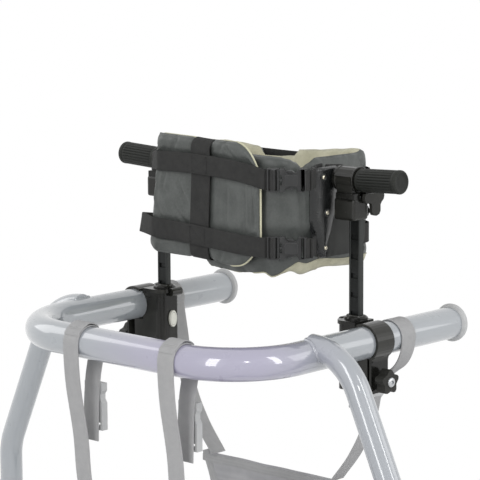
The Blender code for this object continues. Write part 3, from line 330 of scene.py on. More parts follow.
def piece(name, body, finish, points, faces, slot=None, sharp=40.0, stands_for=()):
    """A mesh piece with one finish that rides on a body, smooth except at edges over an angle."""
    mesh = bpy.data.meshes.new(name)
    mesh.from_pydata([tuple(p) for p in points], [], faces)
    work = bmesh.new()
    work.from_mesh(mesh)
    bmesh.ops.recalc_face_normals(work, faces=work.faces)
    work.to_mesh(mesh)
    work.free()
    mesh.materials.append(finish)
    mesh.shade_smooth()
    mesh.set_sharp_from_angle(angle=math.radians(sharp))
    made = bpy.data.objects.new(name, mesh)
    bpy.context.scene.collection.objects.link(made)
    if body:
        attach(made, body)
    if stands_for:
        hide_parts(*stands_for)
    return made


def heading(path, i):
    """The direction in which a path runs at its point i."""
    return (path[min(i + 1, len(path) - 1)] - path[max(i - 1, 0)]).normalized()


def squared(side, way):
    """A side direction brought square to the way that a path runs."""
    return (side - way * side.dot(way)).normalized()


def tube_rings(path, radius, sides):
    """Rings round a path, each turned with the path from the ring before it."""
    rings = []
    side = heading(path, 0).orthogonal().normalized()
    for i, here in enumerate(path):
        way = heading(path, i)
        side = squared(side, way)
        rings.append(circle(here, side, way.cross(side), radius, sides))
    return rings


bend_x, bend_y = ARM_X - BEND_R, BAR_Y + BEND_R
handle_path = [Vector((-ARM_X, ARM_END_Y, TUBE_Z))]
handle_path += turn_arc((-bend_x, bend_y, TUBE_Z), BEND_R, 180, 270, BEND_STEPS)
handle_path += turn_arc((bend_x, bend_y, TUBE_Z), BEND_R, 270, 360, BEND_STEPS)
handle_path.append(Vector((ARM_X, ARM_END_Y, TUBE_Z)))
piece("handle_tube_coated", "top_frame", frame_paint,
      *skin(tube_rings(handle_path, TUBE_R, TUBE_SIDES)), slot="frame_paint",
      stands_for=["handle_tube"])


# Each arm ends in a pressed-in cap of grey plastic with a raised flange and a shallow domed face.
CAP_PROFILE = [(0.0, 0.0030), (0.0085, 0.0028), (0.0125, 0.0022), (0.0138, 0.0040),
               (0.0165, 0.0042), (0.0205, 0.0032), (0.0222, 0.0012), (0.0229, -0.0010),
               (0.0230, -0.0026), (0.0225, -0.0040), (0.0210, -0.0048), (0.0200, -0.0054),
               (0.0, -0.0054)]
CAP_OUT = 0.0057

cap_plastic, shader, place = new_finish("cap_plastic", tone(190, 191, 192), 0.46)
cloud = place.noise(110.0, 3.0)
grain = place.noise(1500.0, 1.0)
feed(shader, Base_Color=cloud.mix(tone(182, 183, 184), tone(198, 199, 199)),
     Roughness=cloud * 0.2 + 0.36)
relief(shader, grain, 0.00005)


def turned_rings(profile, centre, axis, steps):
    """Rings of a turned shape: a profile of (radius, height) spun about an axis."""
    side = axis.orthogonal().normalized()
    other = axis.cross(side)
    return [circle(Vector(centre) + axis * height, side, other, max(radius, 0.00002), steps)
            for radius, height in profile]


for side_name, s in SIDES:
    cap_at = (s * ARM_X, ARM_END_Y + CAP_OUT, TUBE_Z)
    piece("arm_cap_moulded_" + side_name, "top_frame", cap_plastic,
          *skin(turned_rings(CAP_PROFILE, cap_at, Y_WAY, 56)),
          slot="grey_plastic", stands_for=["arm_cap_" + side_name])


# Each upper leg is a thinner tube welded to the outer side of its arm. It bends down, splays out
# and then hangs straight into the base's sleeve. A weld bead runs round the joint.
LEG_R = 0.0143
LEG_Y = -0.113
LEG_BEND_R = 0.075
LEG_SPLAY = math.radians(24.5)
LEG_START_Z = TUBE_Z + 0.010
LEG_X = 0.325
LEG_FOOT_Z = 0.215
LEG_SIDES = 40
WELD_R = 0.0024
WELD_STEPS = 72


def leg_path(s):
    """The centre line of one upper leg, from the middle of its arm down to its foot."""
    splay = math.degrees(LEG_SPLAY)
    upper = turn_arc((s * ARM_X, LEG_Y, LEG_START_Z - LEG_BEND_R), LEG_BEND_R, 90, splay, 20,
                     X_WAY * s, Z_WAY)
    knee_z = upper[-1].z - (LEG_X - abs(upper[-1].x)) / math.tan(LEG_SPLAY)
    centre = (s * (LEG_X - LEG_BEND_R), LEG_Y, knee_z - LEG_BEND_R * math.tan(LEG_SPLAY / 2))
    lower = turn_arc(centre, LEG_BEND_R, splay, 0, 10, X_WAY * s, Z_WAY)
    return upper + lower + [Vector((s * LEG_X, LEG_Y, LEG_FOOT_Z))]


def weld_path(s):
    """The line where the leg's surface meets the arm's."""
    line = []
    for _, across, rise in circle(Z_WAY * (LEG_START_Z - TUBE_Z), Y_WAY, Z_WAY, LEG_R, WELD_STEPS):
        reach = math.sqrt(max(TUBE_R ** 2 - rise ** 2, 0.0))
        line.append(Vector((s * (ARM_X + reach), LEG_Y + across, TUBE_Z + min(rise, TUBE_R))))
    return line + line[:1]


for side_name, s in SIDES:
    piece("leg_coated_" + side_name, "top_frame", frame_paint,
          *skin(tube_rings(leg_path(s), LEG_R, LEG_SIDES)), slot="frame_paint",
          stands_for=["leg_upper_" + side_name])
    piece("leg_weld_" + side_name, "top_frame", frame_paint,
          *skin(tube_rings(weld_path(s), WELD_R, 10), ends=False), slot="frame_paint")


# The hip sling hangs on four loops of pale 25 mm webbing, two over the crossbar and one over each
# arm. Each loop is one length folded over the tube, with two layers below it and a stitched bump
# on top where its end is sewn down.
STRAP_W = 0.025
STRAP_T = 0.0017
LOOP_R = TUBE_R + STRAP_T / 2 + 0.0002
LOOP_END_R = LOOP_R + STRAP_T + 0.0001
FRONT_LOOP_X = {"left": -0.060, "right": 0.093}
REAR_LOOP_Y = 0.0345
SEWN_AT = math.radians(128)
SEAT_FRONT_Z = TUBE_Z - 0.215
SEAT_REAR_Z = TUBE_Z - 0.190
SEAT_FRONT_Y = BAR_Y + 0.012
SEAT_REAR_Y = BAR_Y + 0.267


def webbing_finish(name, dark, light, pitch, gloss=0.4):
    """Woven webbing: chevron ribs across it and threads along it, from the run on its mesh."""
    made, shader, place = new_finish(name, light, 0.8, Specular_IOR_Level=gloss)
    run = place.node("Attribute", {"attribute_name": "run"}, give=1)
    along = run.x_axis()
    across = along.also(1)
    wear = place.noise(130.0, 4.0)
    shade = place.noise(26.0, 2.0)
    chevron = across.work("PINGPONG", across + 1.0, 0.0031)
    ribs = (along + chevron * 0.8).wave(pitch)
    threads = across.wave(pitch * 0.62)
    weave = ribs * 0.75 + threads * 0.25
    worn = (weave * 0.45 + wear * 0.35 + shade * 0.2).ease(0.15, 0.85)
    feed(shader, Base_Color=worn.mix(dark, light), Roughness=wear * 0.2 + 0.68)
    relief(shader, weave, 0.00028, 0.9)
    return made


def thread_finish(name, plain, dark, light, roughness, **constants):
    """Twisted sewing thread."""
    made, shader, place = new_finish(name, plain, roughness, **constants)
    twist = place.noise(2200.0, 2.0)
    feed(shader, Base_Color=twist.mix(dark, light), Roughness=twist * 0.2 + 0.5)
    return made


def smooth_path(points, step=0.0025):
    """A path through points, curved smoothly and cut to about equal steps."""
    points = [Vector(p) for p in points]
    ends = [points[0] * 2 - points[1]] + points + [points[-1] * 2 - points[-2]]
    path = []
    for a, b, c, d in zip(ends, ends[1:], ends[2:], ends[3:]):
        count = max(1, round((c - b).length / step))
        for i in range(count):
            t = i / count
            path.append(0.5 * (2 * b + (c - a) * t + (2 * a - 5 * b + 4 * c - d) * t * t
                               + (3 * b - a - 3 * c + d) * t ** 3))
    return path + [points[-1]]


def store_run(made, runs):
    """Stores on a strap's mesh how far along and across the weave each of its points lies."""
    store = made.data.attributes.new("run", "FLOAT_VECTOR", "POINT")
    store.data.foreach_set("vector", np.array(runs, dtype=np.float32).ravel())


def ribbon(name, body, finish, path, across, width, thick, slot, stands_for=()):
    """A strap of webbing along a path, with slightly thicker woven edges."""
    upper = [(-1.0, 0.0), (-0.985, 0.62), (-0.93, 1.0), (-0.5, 0.9), (0.0, 0.9), (0.5, 0.9),
             (0.93, 1.0), (0.985, 0.62)]
    profile = upper + [(-v, -w) for v, w in upper]
    rings, runs = [], []
    gone = 0.0
    for i, here in enumerate(path):
        gone += (here - path[i - 1]).length if i else 0.0
        way = heading(path, i)
        side = squared(Vector(across[i] if isinstance(across, list) else across), way)
        out = way.cross(side)
        rings.append([here + side * (v * width / 2) + out * (w * thick / 2) for v, w in profile])
        runs += [(gone, v * width / 2, 0.0) for v, w in profile]
    made = piece(name, body, finish, *skin(rings), slot=slot, sharp=70, stands_for=stands_for)
    store_run(made, runs)
    return made


def stitched(name, body, finish, frame, lines, slot):
    """Rows of short raised stitches. The frame gives an origin, two directions and the way out."""
    long, radius, sides = 0.0024, 0.00034, 6
    origin, first, second, out = [Vector(v) for v in frame]
    points, faces = [], []
    for (u0, v0), (u1, v1) in lines:
        a = origin + first * u0 + second * v0
        b = origin + first * u1 + second * v1
        way = (b - a).normalized()
        side = way.cross(out).normalized()
        count = max(1, int((b - a).length / (long * 1.35)))
        for i in range(count):
            middle = a + (b - a) * ((i + 0.5) / count)
            stitch = [circle(middle + way * (along * long), side, out, radius * wide, sides)
                      for along, wide in ((-0.5, 0.25), (-0.28, 1.0), (0.28, 1.0), (0.5, 0.25))]
            start = len(points)
            new_points, new_faces = skin(stitch)
            points += new_points
            faces += [tuple(start + k for k in face) for face in new_faces]
    piece(name, body, finish, points, faces, slot=slot, sharp=60)


def box_of_lines(u0, u1, v0, v1):
    """The four sides of a box and its two diagonals, the way webbing is sewn down."""
    a, b, c, d = (u0, v0), (u1, v0), (u1, v1), (u0, v1)
    return [(a, b), (b, c), (c, d), (d, a), (a, c), (d, b)]


pale_web = webbing_finish("pale_webbing", tone(158, 158, 160), tone(184, 184, 184), 0.0016)
pale_thread = thread_finish("pale_thread", tone(196, 196, 196), tone(182, 182, 182),
                            tone(208, 208, 208), 0.6)


def over_tube(start, stop):
    """The part of a loop's plan that lies on its tube, between two angles in degrees."""
    return [(LOOP_R * math.cos(math.radians(a)), LOOP_R * math.sin(math.radians(a)))
            for a in range(start, stop, -14)]


for side_name, x in FRONT_LOOP_X.items():
    plan = [(SEAT_FRONT_Y - BAR_Y - 0.004, SEAT_FRONT_Z - TUBE_Z + 0.0015), (-0.002, -0.160),
            (-0.0065, -0.110), (-LOOP_R + 0.004, -0.055), (-LOOP_R + 0.0008, -0.024)]
    plan += over_tube(186, -11)
    plan += [(LOOP_R - 0.0012, -0.022), (0.0145, -0.044), (0.0115, -0.075), (0.0100, -0.118)]
    path = smooth_path([(x, BAR_Y + u, TUBE_Z + v) for u, v in plan])
    ribbon("sling_loop_front_" + side_name, "top_frame", pale_web, path, X_WAY, STRAP_W, STRAP_T,
           "pale_webbing", stands_for=["sling_strap_front_" + side_name])
    # the loop's end, sewn down over the top of the tube
    cover = []
    for a, lift in ((48, -0.0014), (54, 0.0), (66, 0.0004), (80, 0.0010), (94, 0.0012),
                    (106, 0.0003), (118, 0.0), (140, 0.0), (150, -0.0012)):
        cover += turn_arc((x, BAR_Y, TUBE_Z), LOOP_END_R + lift, a, a, 0, Y_WAY, Z_WAY)
    ribbon("sling_loop_end_front_" + side_name, "top_frame", pale_web, smooth_path(cover), X_WAY,
           STRAP_W - 0.0006, STRAP_T, "pale_webbing")
    out = Vector((0, math.cos(SEWN_AT), math.sin(SEWN_AT)))
    seam_at = Vector((x, BAR_Y, TUBE_Z)) + out * (LOOP_END_R + STRAP_T / 2 + 0.0002)
    stitched("sling_loop_stitches_front_" + side_name, "top_frame", pale_thread,
             (seam_at, X_WAY, out.cross(X_WAY), out),
             [((-0.0100, 0.0), (0.0100, 0.0)), ((-0.0100, 0.0022), (0.0100, 0.0022))],
             "pale_webbing")

CLIP_LONG, CLIP_WIDE = 0.0165, 0.0100
CLIP_CUT = 0.0025
HOOK_R = 0.0012
for side_name, s in SIDES:
    plan = [(-ARM_X + 0.098, SEAT_REAR_Z - TUBE_Z + 0.0015), (-ARM_X + 0.128, -0.150),
            (-ARM_X + 0.150, -0.105), (-LOOP_R - 0.004, -0.036)]
    plan += over_tube(200, -1)
    plan += [(LOOP_R - 0.0025, -0.016), (0.0075, -0.034), (-0.0130, -0.050), (-0.0320, -0.0745)]
    path = smooth_path([(s * (ARM_X + u), REAR_LOOP_Y, TUBE_Z + v) for u, v in plan])
    ribbon("sling_loop_rear_" + side_name, "top_frame", pale_web, path, Y_WAY, STRAP_W, STRAP_T,
           "pale_webbing", stands_for=["sling_strap_rear_" + side_name])
    # a flat clip of pale plastic with cut corners joins the two layers under the arm
    clip = Vector((s * (ARM_X - 0.0340), REAR_LOOP_Y, TUBE_Z - 0.0775))
    slope = Vector((s * -0.62, 0, -0.785))
    face = Vector((s * -0.785, 0, 0.62))
    near_side = [(-CLIP_LONG, CLIP_CUT - CLIP_WIDE), (CLIP_CUT - CLIP_LONG, -CLIP_WIDE),
                 (CLIP_LONG - CLIP_CUT, -CLIP_WIDE), (CLIP_LONG, CLIP_CUT - CLIP_WIDE)]
    outline = near_side + [(-u, -v) for u, v in near_side]
    rings = [[clip + Y_WAY * (u * long) + slope * (v * wide) + face * depth for u, v in outline]
             for depth, long, wide in ((-0.0030, 14 / 15, 0.9), (-0.0024, 1, 1), (0.0024, 1, 1),
                                       (0.0030, 14 / 15, 0.9))]
    piece("sling_clip_" + side_name, "top_frame", cap_plastic, *skin(rings), slot="grey_plastic",
          sharp=35)
    for end in (-1, 1):
        hook = [clip + Y_WAY * (end * 0.0145) + slope * a + face * b
                for a, b in ((0.004, 0.003), (0.006, 0.006), (0.010, 0.0075), (0.014, 0.0060),
                             (0.015, 0.003))]
        piece("sling_clip_hook_%s_%d" % (side_name, end + 1), "top_frame", cap_plastic,
              *skin(tube_rings(smooth_path(hook, 0.001), HOOK_R, 10)), slot="grey_plastic")


# The seat is one saddle of pale nylon cloth, wide at front and back and narrow between the legs.
# It hangs from the four loops, and its edges are bound with folded tape and sewn.
SEAT_LOW_Z = TUBE_Z - 0.300
SEAT_MIDDLE_X = (FRONT_LOOP_X["left"] + FRONT_LOOP_X["right"]) / 2
SEAT_WAIST = 0.064
SEAT_FLARE = 0.050
SEAT_EDGE_LIFT = 0.016
SEAT_T = 0.0022
SEAT_ROWS, SEAT_COLS = 72, 56
BINDING_W = 0.010
BINDING_T = 0.0038
HEM_STEPS = 60


def eased(share):
    """A share from 0 to 1 that starts and ends slowly."""
    return 0.5 - 0.5 * math.cos(math.pi * share)


def seat_at(t, v):
    """A point of the seat: t runs from its front edge to its back edge, and v across it from
    -1 to 1."""
    y = SEAT_FRONT_Y + (SEAT_REAR_Y - SEAT_FRONT_Y) * eased(t)
    edge = SEAT_FRONT_Z + (SEAT_REAR_Z - SEAT_FRONT_Z) * t
    sag = math.sin(math.pi * t)
    z = edge - (edge - SEAT_LOW_Z) * sag ** 0.8
    half = SEAT_WAIST + SEAT_FLARE * (2 * t - 1) ** 2 + 0.012 * t
    x = SEAT_MIDDLE_X * (1 - t) + half * v
    lift = SEAT_EDGE_LIFT * v * v * sag
    # soft drag folds run from the loops towards the low middle
    drag = 0.0013 * math.sin(9.5 * v + 2.4 * math.sin(3.0 * t)) * sag ** 0.5
    ripple = 0.0008 * noise.noise(Vector((x * 24, y * 24, 3.1)))
    return Vector((x, y, z + lift + drag + ripple))


sling_cloth, shader, place = new_finish("sling_cloth", tone(172, 172, 174), 0.82, Sheen_Weight=0.15)
axes = place.x_axis()
threads = axes.wave(0.0014) * 0.5 + axes.also(1).wave(0.0014) * 0.5
cloud = place.noise(30.0, 4.0)
shade = (cloud * 0.75 + threads * 0.25).ease(0.25, 0.75)
feed(shader, Base_Color=shade.mix(tone(160, 160, 163), tone(182, 182, 184)),
     Roughness=cloud * 0.2 + 0.7)
relief(shader, threads * 0.7 + cloud * 0.3, 0.00016)

points, faces = [], []
for layer in (1, -1):
    for i in range(SEAT_ROWS + 1):
        t = i / SEAT_ROWS
        for k in range(SEAT_COLS + 1):
            v = -1 + 2 * k / SEAT_COLS
            along = seat_at(min(t + 0.01, 1), v) - seat_at(max(t - 0.01, 0), v)
            over = seat_at(t, min(v + 0.02, 1)) - seat_at(t, max(v - 0.02, -1))
            thin_edge = 1.0 - 0.5 * max(abs(v), abs(2 * t - 1)) ** 20
            out = over.cross(along).normalized()
            points.append(seat_at(t, v) + out * (layer * SEAT_T / 2 * thin_edge))
row = SEAT_COLS + 1
sheet = row * (SEAT_ROWS + 1)
for i in range(SEAT_ROWS):
    for k in range(SEAT_COLS):
        a = i * row + k
        faces.append((a, a + 1, a + row + 1, a + row))
        faces.append((sheet + a, sheet + a + row, sheet + a + row + 1, sheet + a + 1))
for i in range(SEAT_ROWS):
    for a in (i * row, i * row + SEAT_COLS):
        faces.append((a, a + row, sheet + a + row, sheet + a))
for k in range(SEAT_COLS):
    for a in (k, SEAT_ROWS * row + k):
        faces.append((a, a + 1, sheet + a + 1, sheet + a))
seat = piece("sling_seat_cloth", "top_frame", sling_cloth, points, faces, slot="sling_cloth",
             sharp=60, stands_for=["sling_seat"])

# the binding tape, folded over each edge
shares = [i / HEM_STEPS for i in range(HEM_STEPS + 1)]
hems = [([seat_at(t, side * 0.995) for t in shares], [seat_at(t, side * 0.93) for t in shares])
        for side in (-1, 1)]
hems += [([seat_at(t, -1 + 2 * v) for v in shares], [seat_at(inner, -1 + 2 * v) for v in shares])
         for t, inner in ((0.004, 0.024), (0.996, 0.976))]
half_tape = [(1.0, 0.72), (0.6, 0.95), (0.15, 1.0), (0.0, 0.7)]
tape_profile = half_tape + [(-0.06, 0.0)] + [(u, -w) for u, w in reversed(half_tape)]
for number, (rim, inner_line) in enumerate(hems):
    rings, runs = [], []
    gone = 0.0
    for i, here in enumerate(rim):
        gone += (here - rim[i - 1]).length if i else 0.0
        way = heading(rim, i)
        flat = squared(inner_line[i] - here, way)
        out = way.cross(flat)
        rings.append([here + flat * (u * BINDING_W - 0.0006) + out * (w * BINDING_T / 2)
                      for u, w in tape_profile])
        runs += [(gone, 0.0011 * k, 0.0) for k in range(len(tape_profile))]
    tape = piece("sling_seat_binding_%d" % number, "top_frame", pale_web, *skin(rings),
                 slot="pale_webbing", sharp=60)
    store_run(tape, runs)
middle = [seat_at(t, 0) for t in shares]
area = 0.0
for i in range(HEM_STEPS):
    for k in range(20):
        a, b, c = [seat_at(t / HEM_STEPS, -1 + v / 10) for t, v in ((i, k), (i + 1, k), (i, k + 1))]
        area += (b - a).cross(c - a).length


# A clamp holds each post to its arm: a moulded block beside the tube with a round foot for the
# post, and a band that curls over the tube and hangs down outside it. Both are glossy black
# nylon with softened moulding edges and fine scuffs.
HOUSING_TOP = TUBE_Z + 0.0180
POST_X = 0.1568
POST_HALF_X, POST_HALF_Y = 0.0085, 0.0040
EYELET_X = 0.1515
EYELET_Z = TUBE_Z - 0.040

clamp_gloss, shader, place = new_finish("clamp_gloss", tone(26, 26, 25), 0.18,
                                        Specular_IOR_Level=0.32)
cloud = place.noise(70.0, 5.0)
skin_grain = place.noise(900.0, 3.0)
scratch = place.stretched((1.0, 9.0, 1.0), (0.3, 0.4, 0.5)).noise(160.0, 8.0, 0.7)
scuff = scratch.ease(0.60, 0.72) * cloud.ease(0.45, 0.65)
# the outer edges are painted lighter: a painted highlight. The scuffs and scratches are real wear.
corner = place.painted_edge_light(0.53, 0.62)
light = scuff * 0.5 + cloud * 0.3 + corner * 0.5
feed(shader, Base_Color=light.mix(tone(13, 13, 12), tone(56, 56, 52)),
     Roughness=cloud * 0.12 + scuff * 0.25 + 0.12)
relief(shader, cloud * 0.6 + skin_grain * 0.25 + scratch * 0.15, 0.00022, 0.8)


def finished(node_name, finish):
    """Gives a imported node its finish."""
    node = frame["nodes"][node_name]
    node.data.materials.clear()
    node.data.materials.append(finish)
    node.data.shade_smooth()
    return node


def rounded(made, width, angle):
    """Rounds the edges sharper than an angle in degrees, as a mould leaves them."""
    edge = made.modifiers.new("edges", "BEVEL")
    edge.width = width
    edge.segments = 2
    edge.limit_method = "ANGLE"
    edge.angle_limit = math.radians(angle)
    edge.harden_normals = True


def soft_edges(node_name, finish, width, angle=32):
    """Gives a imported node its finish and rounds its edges, as on a moulding."""
    node = finished(node_name, finish)
    node.data.set_sharp_from_angle(angle=math.radians(angle))
    rounded(node, width, angle)


def hoop(rings):
    """Points and faces of a body of revolution whose last ring joins its first."""
    return skin(rings + rings[:1], ends=False)


def spun(profile, centre, s, count):
    """Rings about a line along x: a profile of (radius, x) from a centre, x towards side s."""
    return [circle(Vector(centre) + X_WAY * (s * x), Y_WAY, Z_WAY, r, count) for r, x in profile]


for side_name, s in SIDES:
    soft_edges("clamp_housing_" + side_name, clamp_gloss, 0.0009)
    soft_edges("clamp_band_" + side_name, clamp_gloss, 0.0006)
    # a raised collar seam round the post's way in, and the eyelet of the spring pin below
    half_outline = ((-0.86, -1), (0.86, -1), (1, -0.7), (1, 0.7))
    rings = []
    for lift, grow in ((0.0066, 0.0006), (0.0078, 0.0008), (0.0083, 0.0014), (0.0080, 0.0022),
                       (0.0066, 0.0026)):
        rings.append([Vector((s * POST_X + turn * u * (POST_HALF_X + grow),
                              turn * v * (POST_HALF_Y + grow), HOUSING_TOP + lift))
                      for turn in (1, -1) for u, v in half_outline])
    points, faces = skin(rings, ends=False)
    count = len(rings[0])
    last = len(points) - count
    faces += [(k, (k + 1) % count, last + (k + 1) % count, last + k) for k in range(count)]
    piece("post_way_rim_" + side_name, "carriage", clamp_gloss, points, faces, slot="clamp_gloss",
          sharp=50)
    eyelet = [circle(Vector((s * EYELET_X, y, EYELET_Z)), X_WAY, Z_WAY, r, 20)
              for r, y in ((0.0012, -0.0202), (0.0016, -0.0206), (0.0026, -0.0206),
                           (0.0031, -0.0202), (0.0032, -0.0192))]
    piece("clamp_eyelet_" + side_name, "carriage", clamp_gloss, *skin(eyelet), slot="clamp_gloss",
          sharp=50)


# The star knob that pulls the band tight has five lobes of matt black nylon. A bright steel bolt
# with a six-sided recess sits in its middle, and a washer between it and the band.
SCREW_AT = (0.0, -0.009, TUBE_Z - 0.0443)

steel, shader, place = new_finish("bare_steel", tone(196, 198, 200), 0.28, 1.0)
streak = (place * (900.0, 900.0, 90.0)).noise(1.0, 3.0)
feed(shader, Roughness=streak * 0.25 + 0.16)
relief(shader, streak, 0.00002)
matt_nylon, shader, place = new_finish("matt_nylon", tone(28, 28, 27), 0.45, Specular_IOR_Level=0.2)
cloud = place.noise(60.0, 5.0)
spark = place.cells(1700.0)
# the outer edges are painted lighter: a painted highlight
corner = place.painted_edge_light(0.53, 0.62)
feed(shader, Base_Color=(cloud * 0.5 + corner * 0.5).mix(tone(20, 20, 19), tone(54, 54, 51)),
     Roughness=cloud * 0.2 + 0.34)
relief(shader, spark * 0.6 + cloud * 0.4, 0.00016)

for side_name, s in SIDES:
    soft_edges("clamp_knob_" + side_name, matt_nylon, 0.0014, 40)
    washer = [(0.0034, 0.20385), (0.0098, 0.20385), (0.0100, 0.2040), (0.0100, 0.20435),
              (0.0034, 0.20435)]
    piece("clamp_washer_" + side_name, "clamp_screw_" + side_name, steel,
          *hoop(spun(washer, SCREW_AT, s, 32)), slot="steel", sharp=50)
    head = [(0.0058, 0.2160), (0.0058, 0.2174), (0.0054, 0.2183), (0.0044, 0.2190),
            (0.0032, 0.2192)]
    rings = spun(head, SCREW_AT, s, 30)
    for ring in spun(((0.0024, 0.2192), (0.0022, 0.2172)), SCREW_AT, s, 30):
        # a six-sided ring: each point drawn in to the nearest flat
        centre = Vector((ring[0].x, *SCREW_AT[1:]))
        rings.append([])
        for k, point in enumerate(ring):
            turned = (2 * math.pi * k / 30) % (math.pi / 3) - math.pi / 6
            rings[-1].append(centre + (point - centre) * (math.cos(math.pi / 6) / math.cos(turned)))
    piece("clamp_bolt_" + side_name, "clamp_screw_" + side_name, steel, *skin(rings), slot="steel",
          sharp=35)


# The oval button that frees the post is off-white plastic with a fine ring pressed into its face.
button_white, shader, place = new_finish("button_white", tone(232, 232, 222), 0.42)
BUTTON_Y, BUTTON_Z = -0.0008, TUBE_Z - 0.0165
BUTTON_HALF_Y, BUTTON_HALF_Z = 0.0060, 0.0105
offset = place - (0.0, BUTTON_Y, BUTTON_Z)
share = (offset * (0.0, 1 / BUTTON_HALF_Y, 1 / BUTTON_HALF_Z)).length()
# the pressed ring and the rim are painted darker: painted shade in the groove and at the edge. The
# grime noise is real dirt.
ring = share.ease(0.70, 0.75) - share.ease(0.77, 0.82)
grime = place.noise(300.0, 4.0)
edge = share.ease(0.88, 1.02)
groove_shade_and_grime = ring * 0.55 + edge * 0.45 + grime.ease(0.55, 0.8) * 0.2
feed(shader, Base_Color=groove_shade_and_grime.mix(tone(236, 236, 226), tone(158, 158, 148)),
     Roughness=grime * 0.2 + 0.32)
relief(shader, 1.0 - ring, 0.00030)
for side_name, s in SIDES:
    soft_edges("release_button_" + side_name, button_white, 0.0007, 40)


# Each post is a flat aluminium bar, anodised black, with a ridge down both edges of its broad faces
# and a row of catch slots. It slides in the clamp and carries the head bracket.
anodised, shader, place = new_finish("black_anodised", tone(38, 40, 43), 0.36, metallic=0.35,
                                     Specular_IOR_Level=0.3)
lines = place.stretched((1.0, 1.0, 0.012)).noise(1800.0, 3.0)
cloud = place.noise(60.0, 4.0)
# the ridges and edges are painted lighter: a painted highlight
corner = place.painted_edge_light(0.52, 0.60)
light = lines * 0.35 + cloud * 0.3 + corner * 0.55
feed(shader, Base_Color=light.mix(tone(20, 22, 22), tone(64, 66, 65)),
     Roughness=lines * 0.14 + cloud * 0.1 + 0.24, Metallic=cloud * 0.2 + 0.45)
relief(shader, lines, 0.00006)
for side_name, s in SIDES:
    soft_edges("post_" + side_name, anodised, 0.0004, 30)


# The head bracket is one glossy black moulding: a collar that holds the grip, a neck, and a
# socket block for the top of the post. The wing lever sits on its outer side, and the lock knob
# behind it. Both are of the clamp knobs' matt nylon.
GRIP_Z = TUBE_Z + 0.184
GRIP_R = 0.0137
GRIP_X0 = 0.1627
GRIP_LEN = 0.0600
GRIP_TILT = math.radians(2.5)
GRIP_GAP = 0.0003
COLLAR_X0 = 0.1320
COLLAR_R = 0.0147

for side_name, s in SIDES:
    soft_edges("head_bracket_" + side_name, clamp_gloss, 0.0010, 34)
    soft_edges("wing_knob_" + side_name, matt_nylon, 0.0007, 40)
    soft_edges("lock_knob_" + side_name, matt_nylon, 0.0003, 50)
    # the collar's rolled mouth, where the grip goes in, and a low bead round its inner end
    for name, start_x, profile in (
            ("collar_mouth_", GRIP_X0 - GRIP_GAP,
             ((-0.0006, -0.0022), (0.00005, -0.0022), (0.0005, -0.0018), (0.00075, -0.0010),
              (0.00065, -0.0002), (0.0002, 0.0000), (-0.0006, 0.0000))),
            ("collar_bead_", COLLAR_X0,
             ((-0.0001, 0.0030), (0.0004, 0.0034), (0.0004, 0.0042), (-0.0001, 0.0046)))):
        rings = spun([(COLLAR_R + r, start_x + x) for r, x in profile], (0, 0, GRIP_Z), s, 40)
        piece(name + side_name, "trunk_support", clamp_gloss, *hoop(rings), slot="clamp_gloss",
              sharp=60)


# The hand grips are moulded rubber sleeves with 24 round ribs along them. The outer end has a
# finely notched rim round a shallow dished disc.
RIBS = 24
RIB_DEPTH = 0.00095
NOTCH_DEPTH = 0.00035
GRIP_STEPS = RIBS * 8

grip_rubber, shader, place = new_finish("grip_rubber", tone(32, 34, 32), 0.5,
                                        Specular_IOR_Level=0.2)
cloud = place.noise(55.0, 4.0)
dust = place.noise(620.0, 4.0)
# the rib crests and edges are painted lighter: a painted highlight. The dust is real.
rib_crest_highlight = place.painted_edge_light(0.50, 0.56)
light = cloud * 0.35 + dust * 0.25 + rib_crest_highlight * 0.4
feed(shader, Base_Color=light.mix(tone(22, 23, 22), tone(54, 56, 52)),
     Roughness=cloud * 0.15 + dust * 0.12 + 0.38)
relief(shader, dust, 0.00014)

for side_name, s in SIDES:
    along = Vector((s * math.cos(GRIP_TILT), 0, math.sin(GRIP_TILT)))
    upward = Vector((-s * math.sin(GRIP_TILT), 0, math.cos(GRIP_TILT)))
    start = Vector((s * (GRIP_X0 + GRIP_R * math.sin(GRIP_TILT) + GRIP_GAP), 0.0, GRIP_Z))
    # each ring: place along the grip, radius, depth of the ribs and of the fine notches
    inner_end = [(0.0, 0.0115, 0.0, 0.0), (0.0002, 0.0129, 0.0, 0.0), (0.0012, 0.0134, 0.0, 0.0),
                 (0.0030, 0.0134, 0.0, 0.0), (0.0040, 0.0132, 0.3, 0.0), (0.0056, 0.0135, 1.0, 0.0)]
    ribbed_run = [(u, GRIP_R, 1.0, 0.0) for u in np.linspace(0.008, GRIP_LEN - 0.0095, 12)]
    outer_end = [(GRIP_LEN - back, radius, ribbed, notched) for back, radius, ribbed, notched in (
        (0.0080, GRIP_R, 0.8, 0.0), (0.0070, 0.0133, 0.2, 0.0), (0.0064, 0.0132, 0.0, 0.0),
        (0.0058, 0.0136, 0.0, 0.6), (0.0050, 0.0139, 0.0, 1.0), (0.0016, 0.0139, 0.0, 1.0),
        (0.0006, 0.0133, 0.0, 0.8), (0.0001, 0.0124, 0.0, 0.4), (0.0, 0.0118, 0.0, 0.0),
        (0.0001, 0.0110, 0.0, 0.0), (0.0008, 0.0104, 0.0, 0.0), (0.0010, 0.0060, 0.0, 0.0),
        (0.0007, 0.0034, 0.0, 0.0), (0.0009, 0.0012, 0.0, 0.0))]
    rings = []
    for place_on, radius, ribbed, notched in inner_end + ribbed_run + outer_end:
        ring = []
        for a in np.linspace(0, 2 * math.pi, GRIP_STEPS, endpoint=False):
            rib = abs(math.cos(RIBS * a / 2)) ** 0.55
            notch = 0.5 + 0.5 * math.cos(2 * RIBS * a)
            r = radius - RIB_DEPTH * ribbed * (1 - rib) - NOTCH_DEPTH * notched * notch
            ring.append(start + along * place_on + Y_WAY * (r * math.cos(a))
                        + upward * (r * math.sin(a)))
        rings.append(ring)
    piece("grip_rubber_" + side_name, "trunk_support", grip_rubber, *skin(rings),
          slot="grip_rubber", sharp=60, stands_for=["grip_" + side_name])


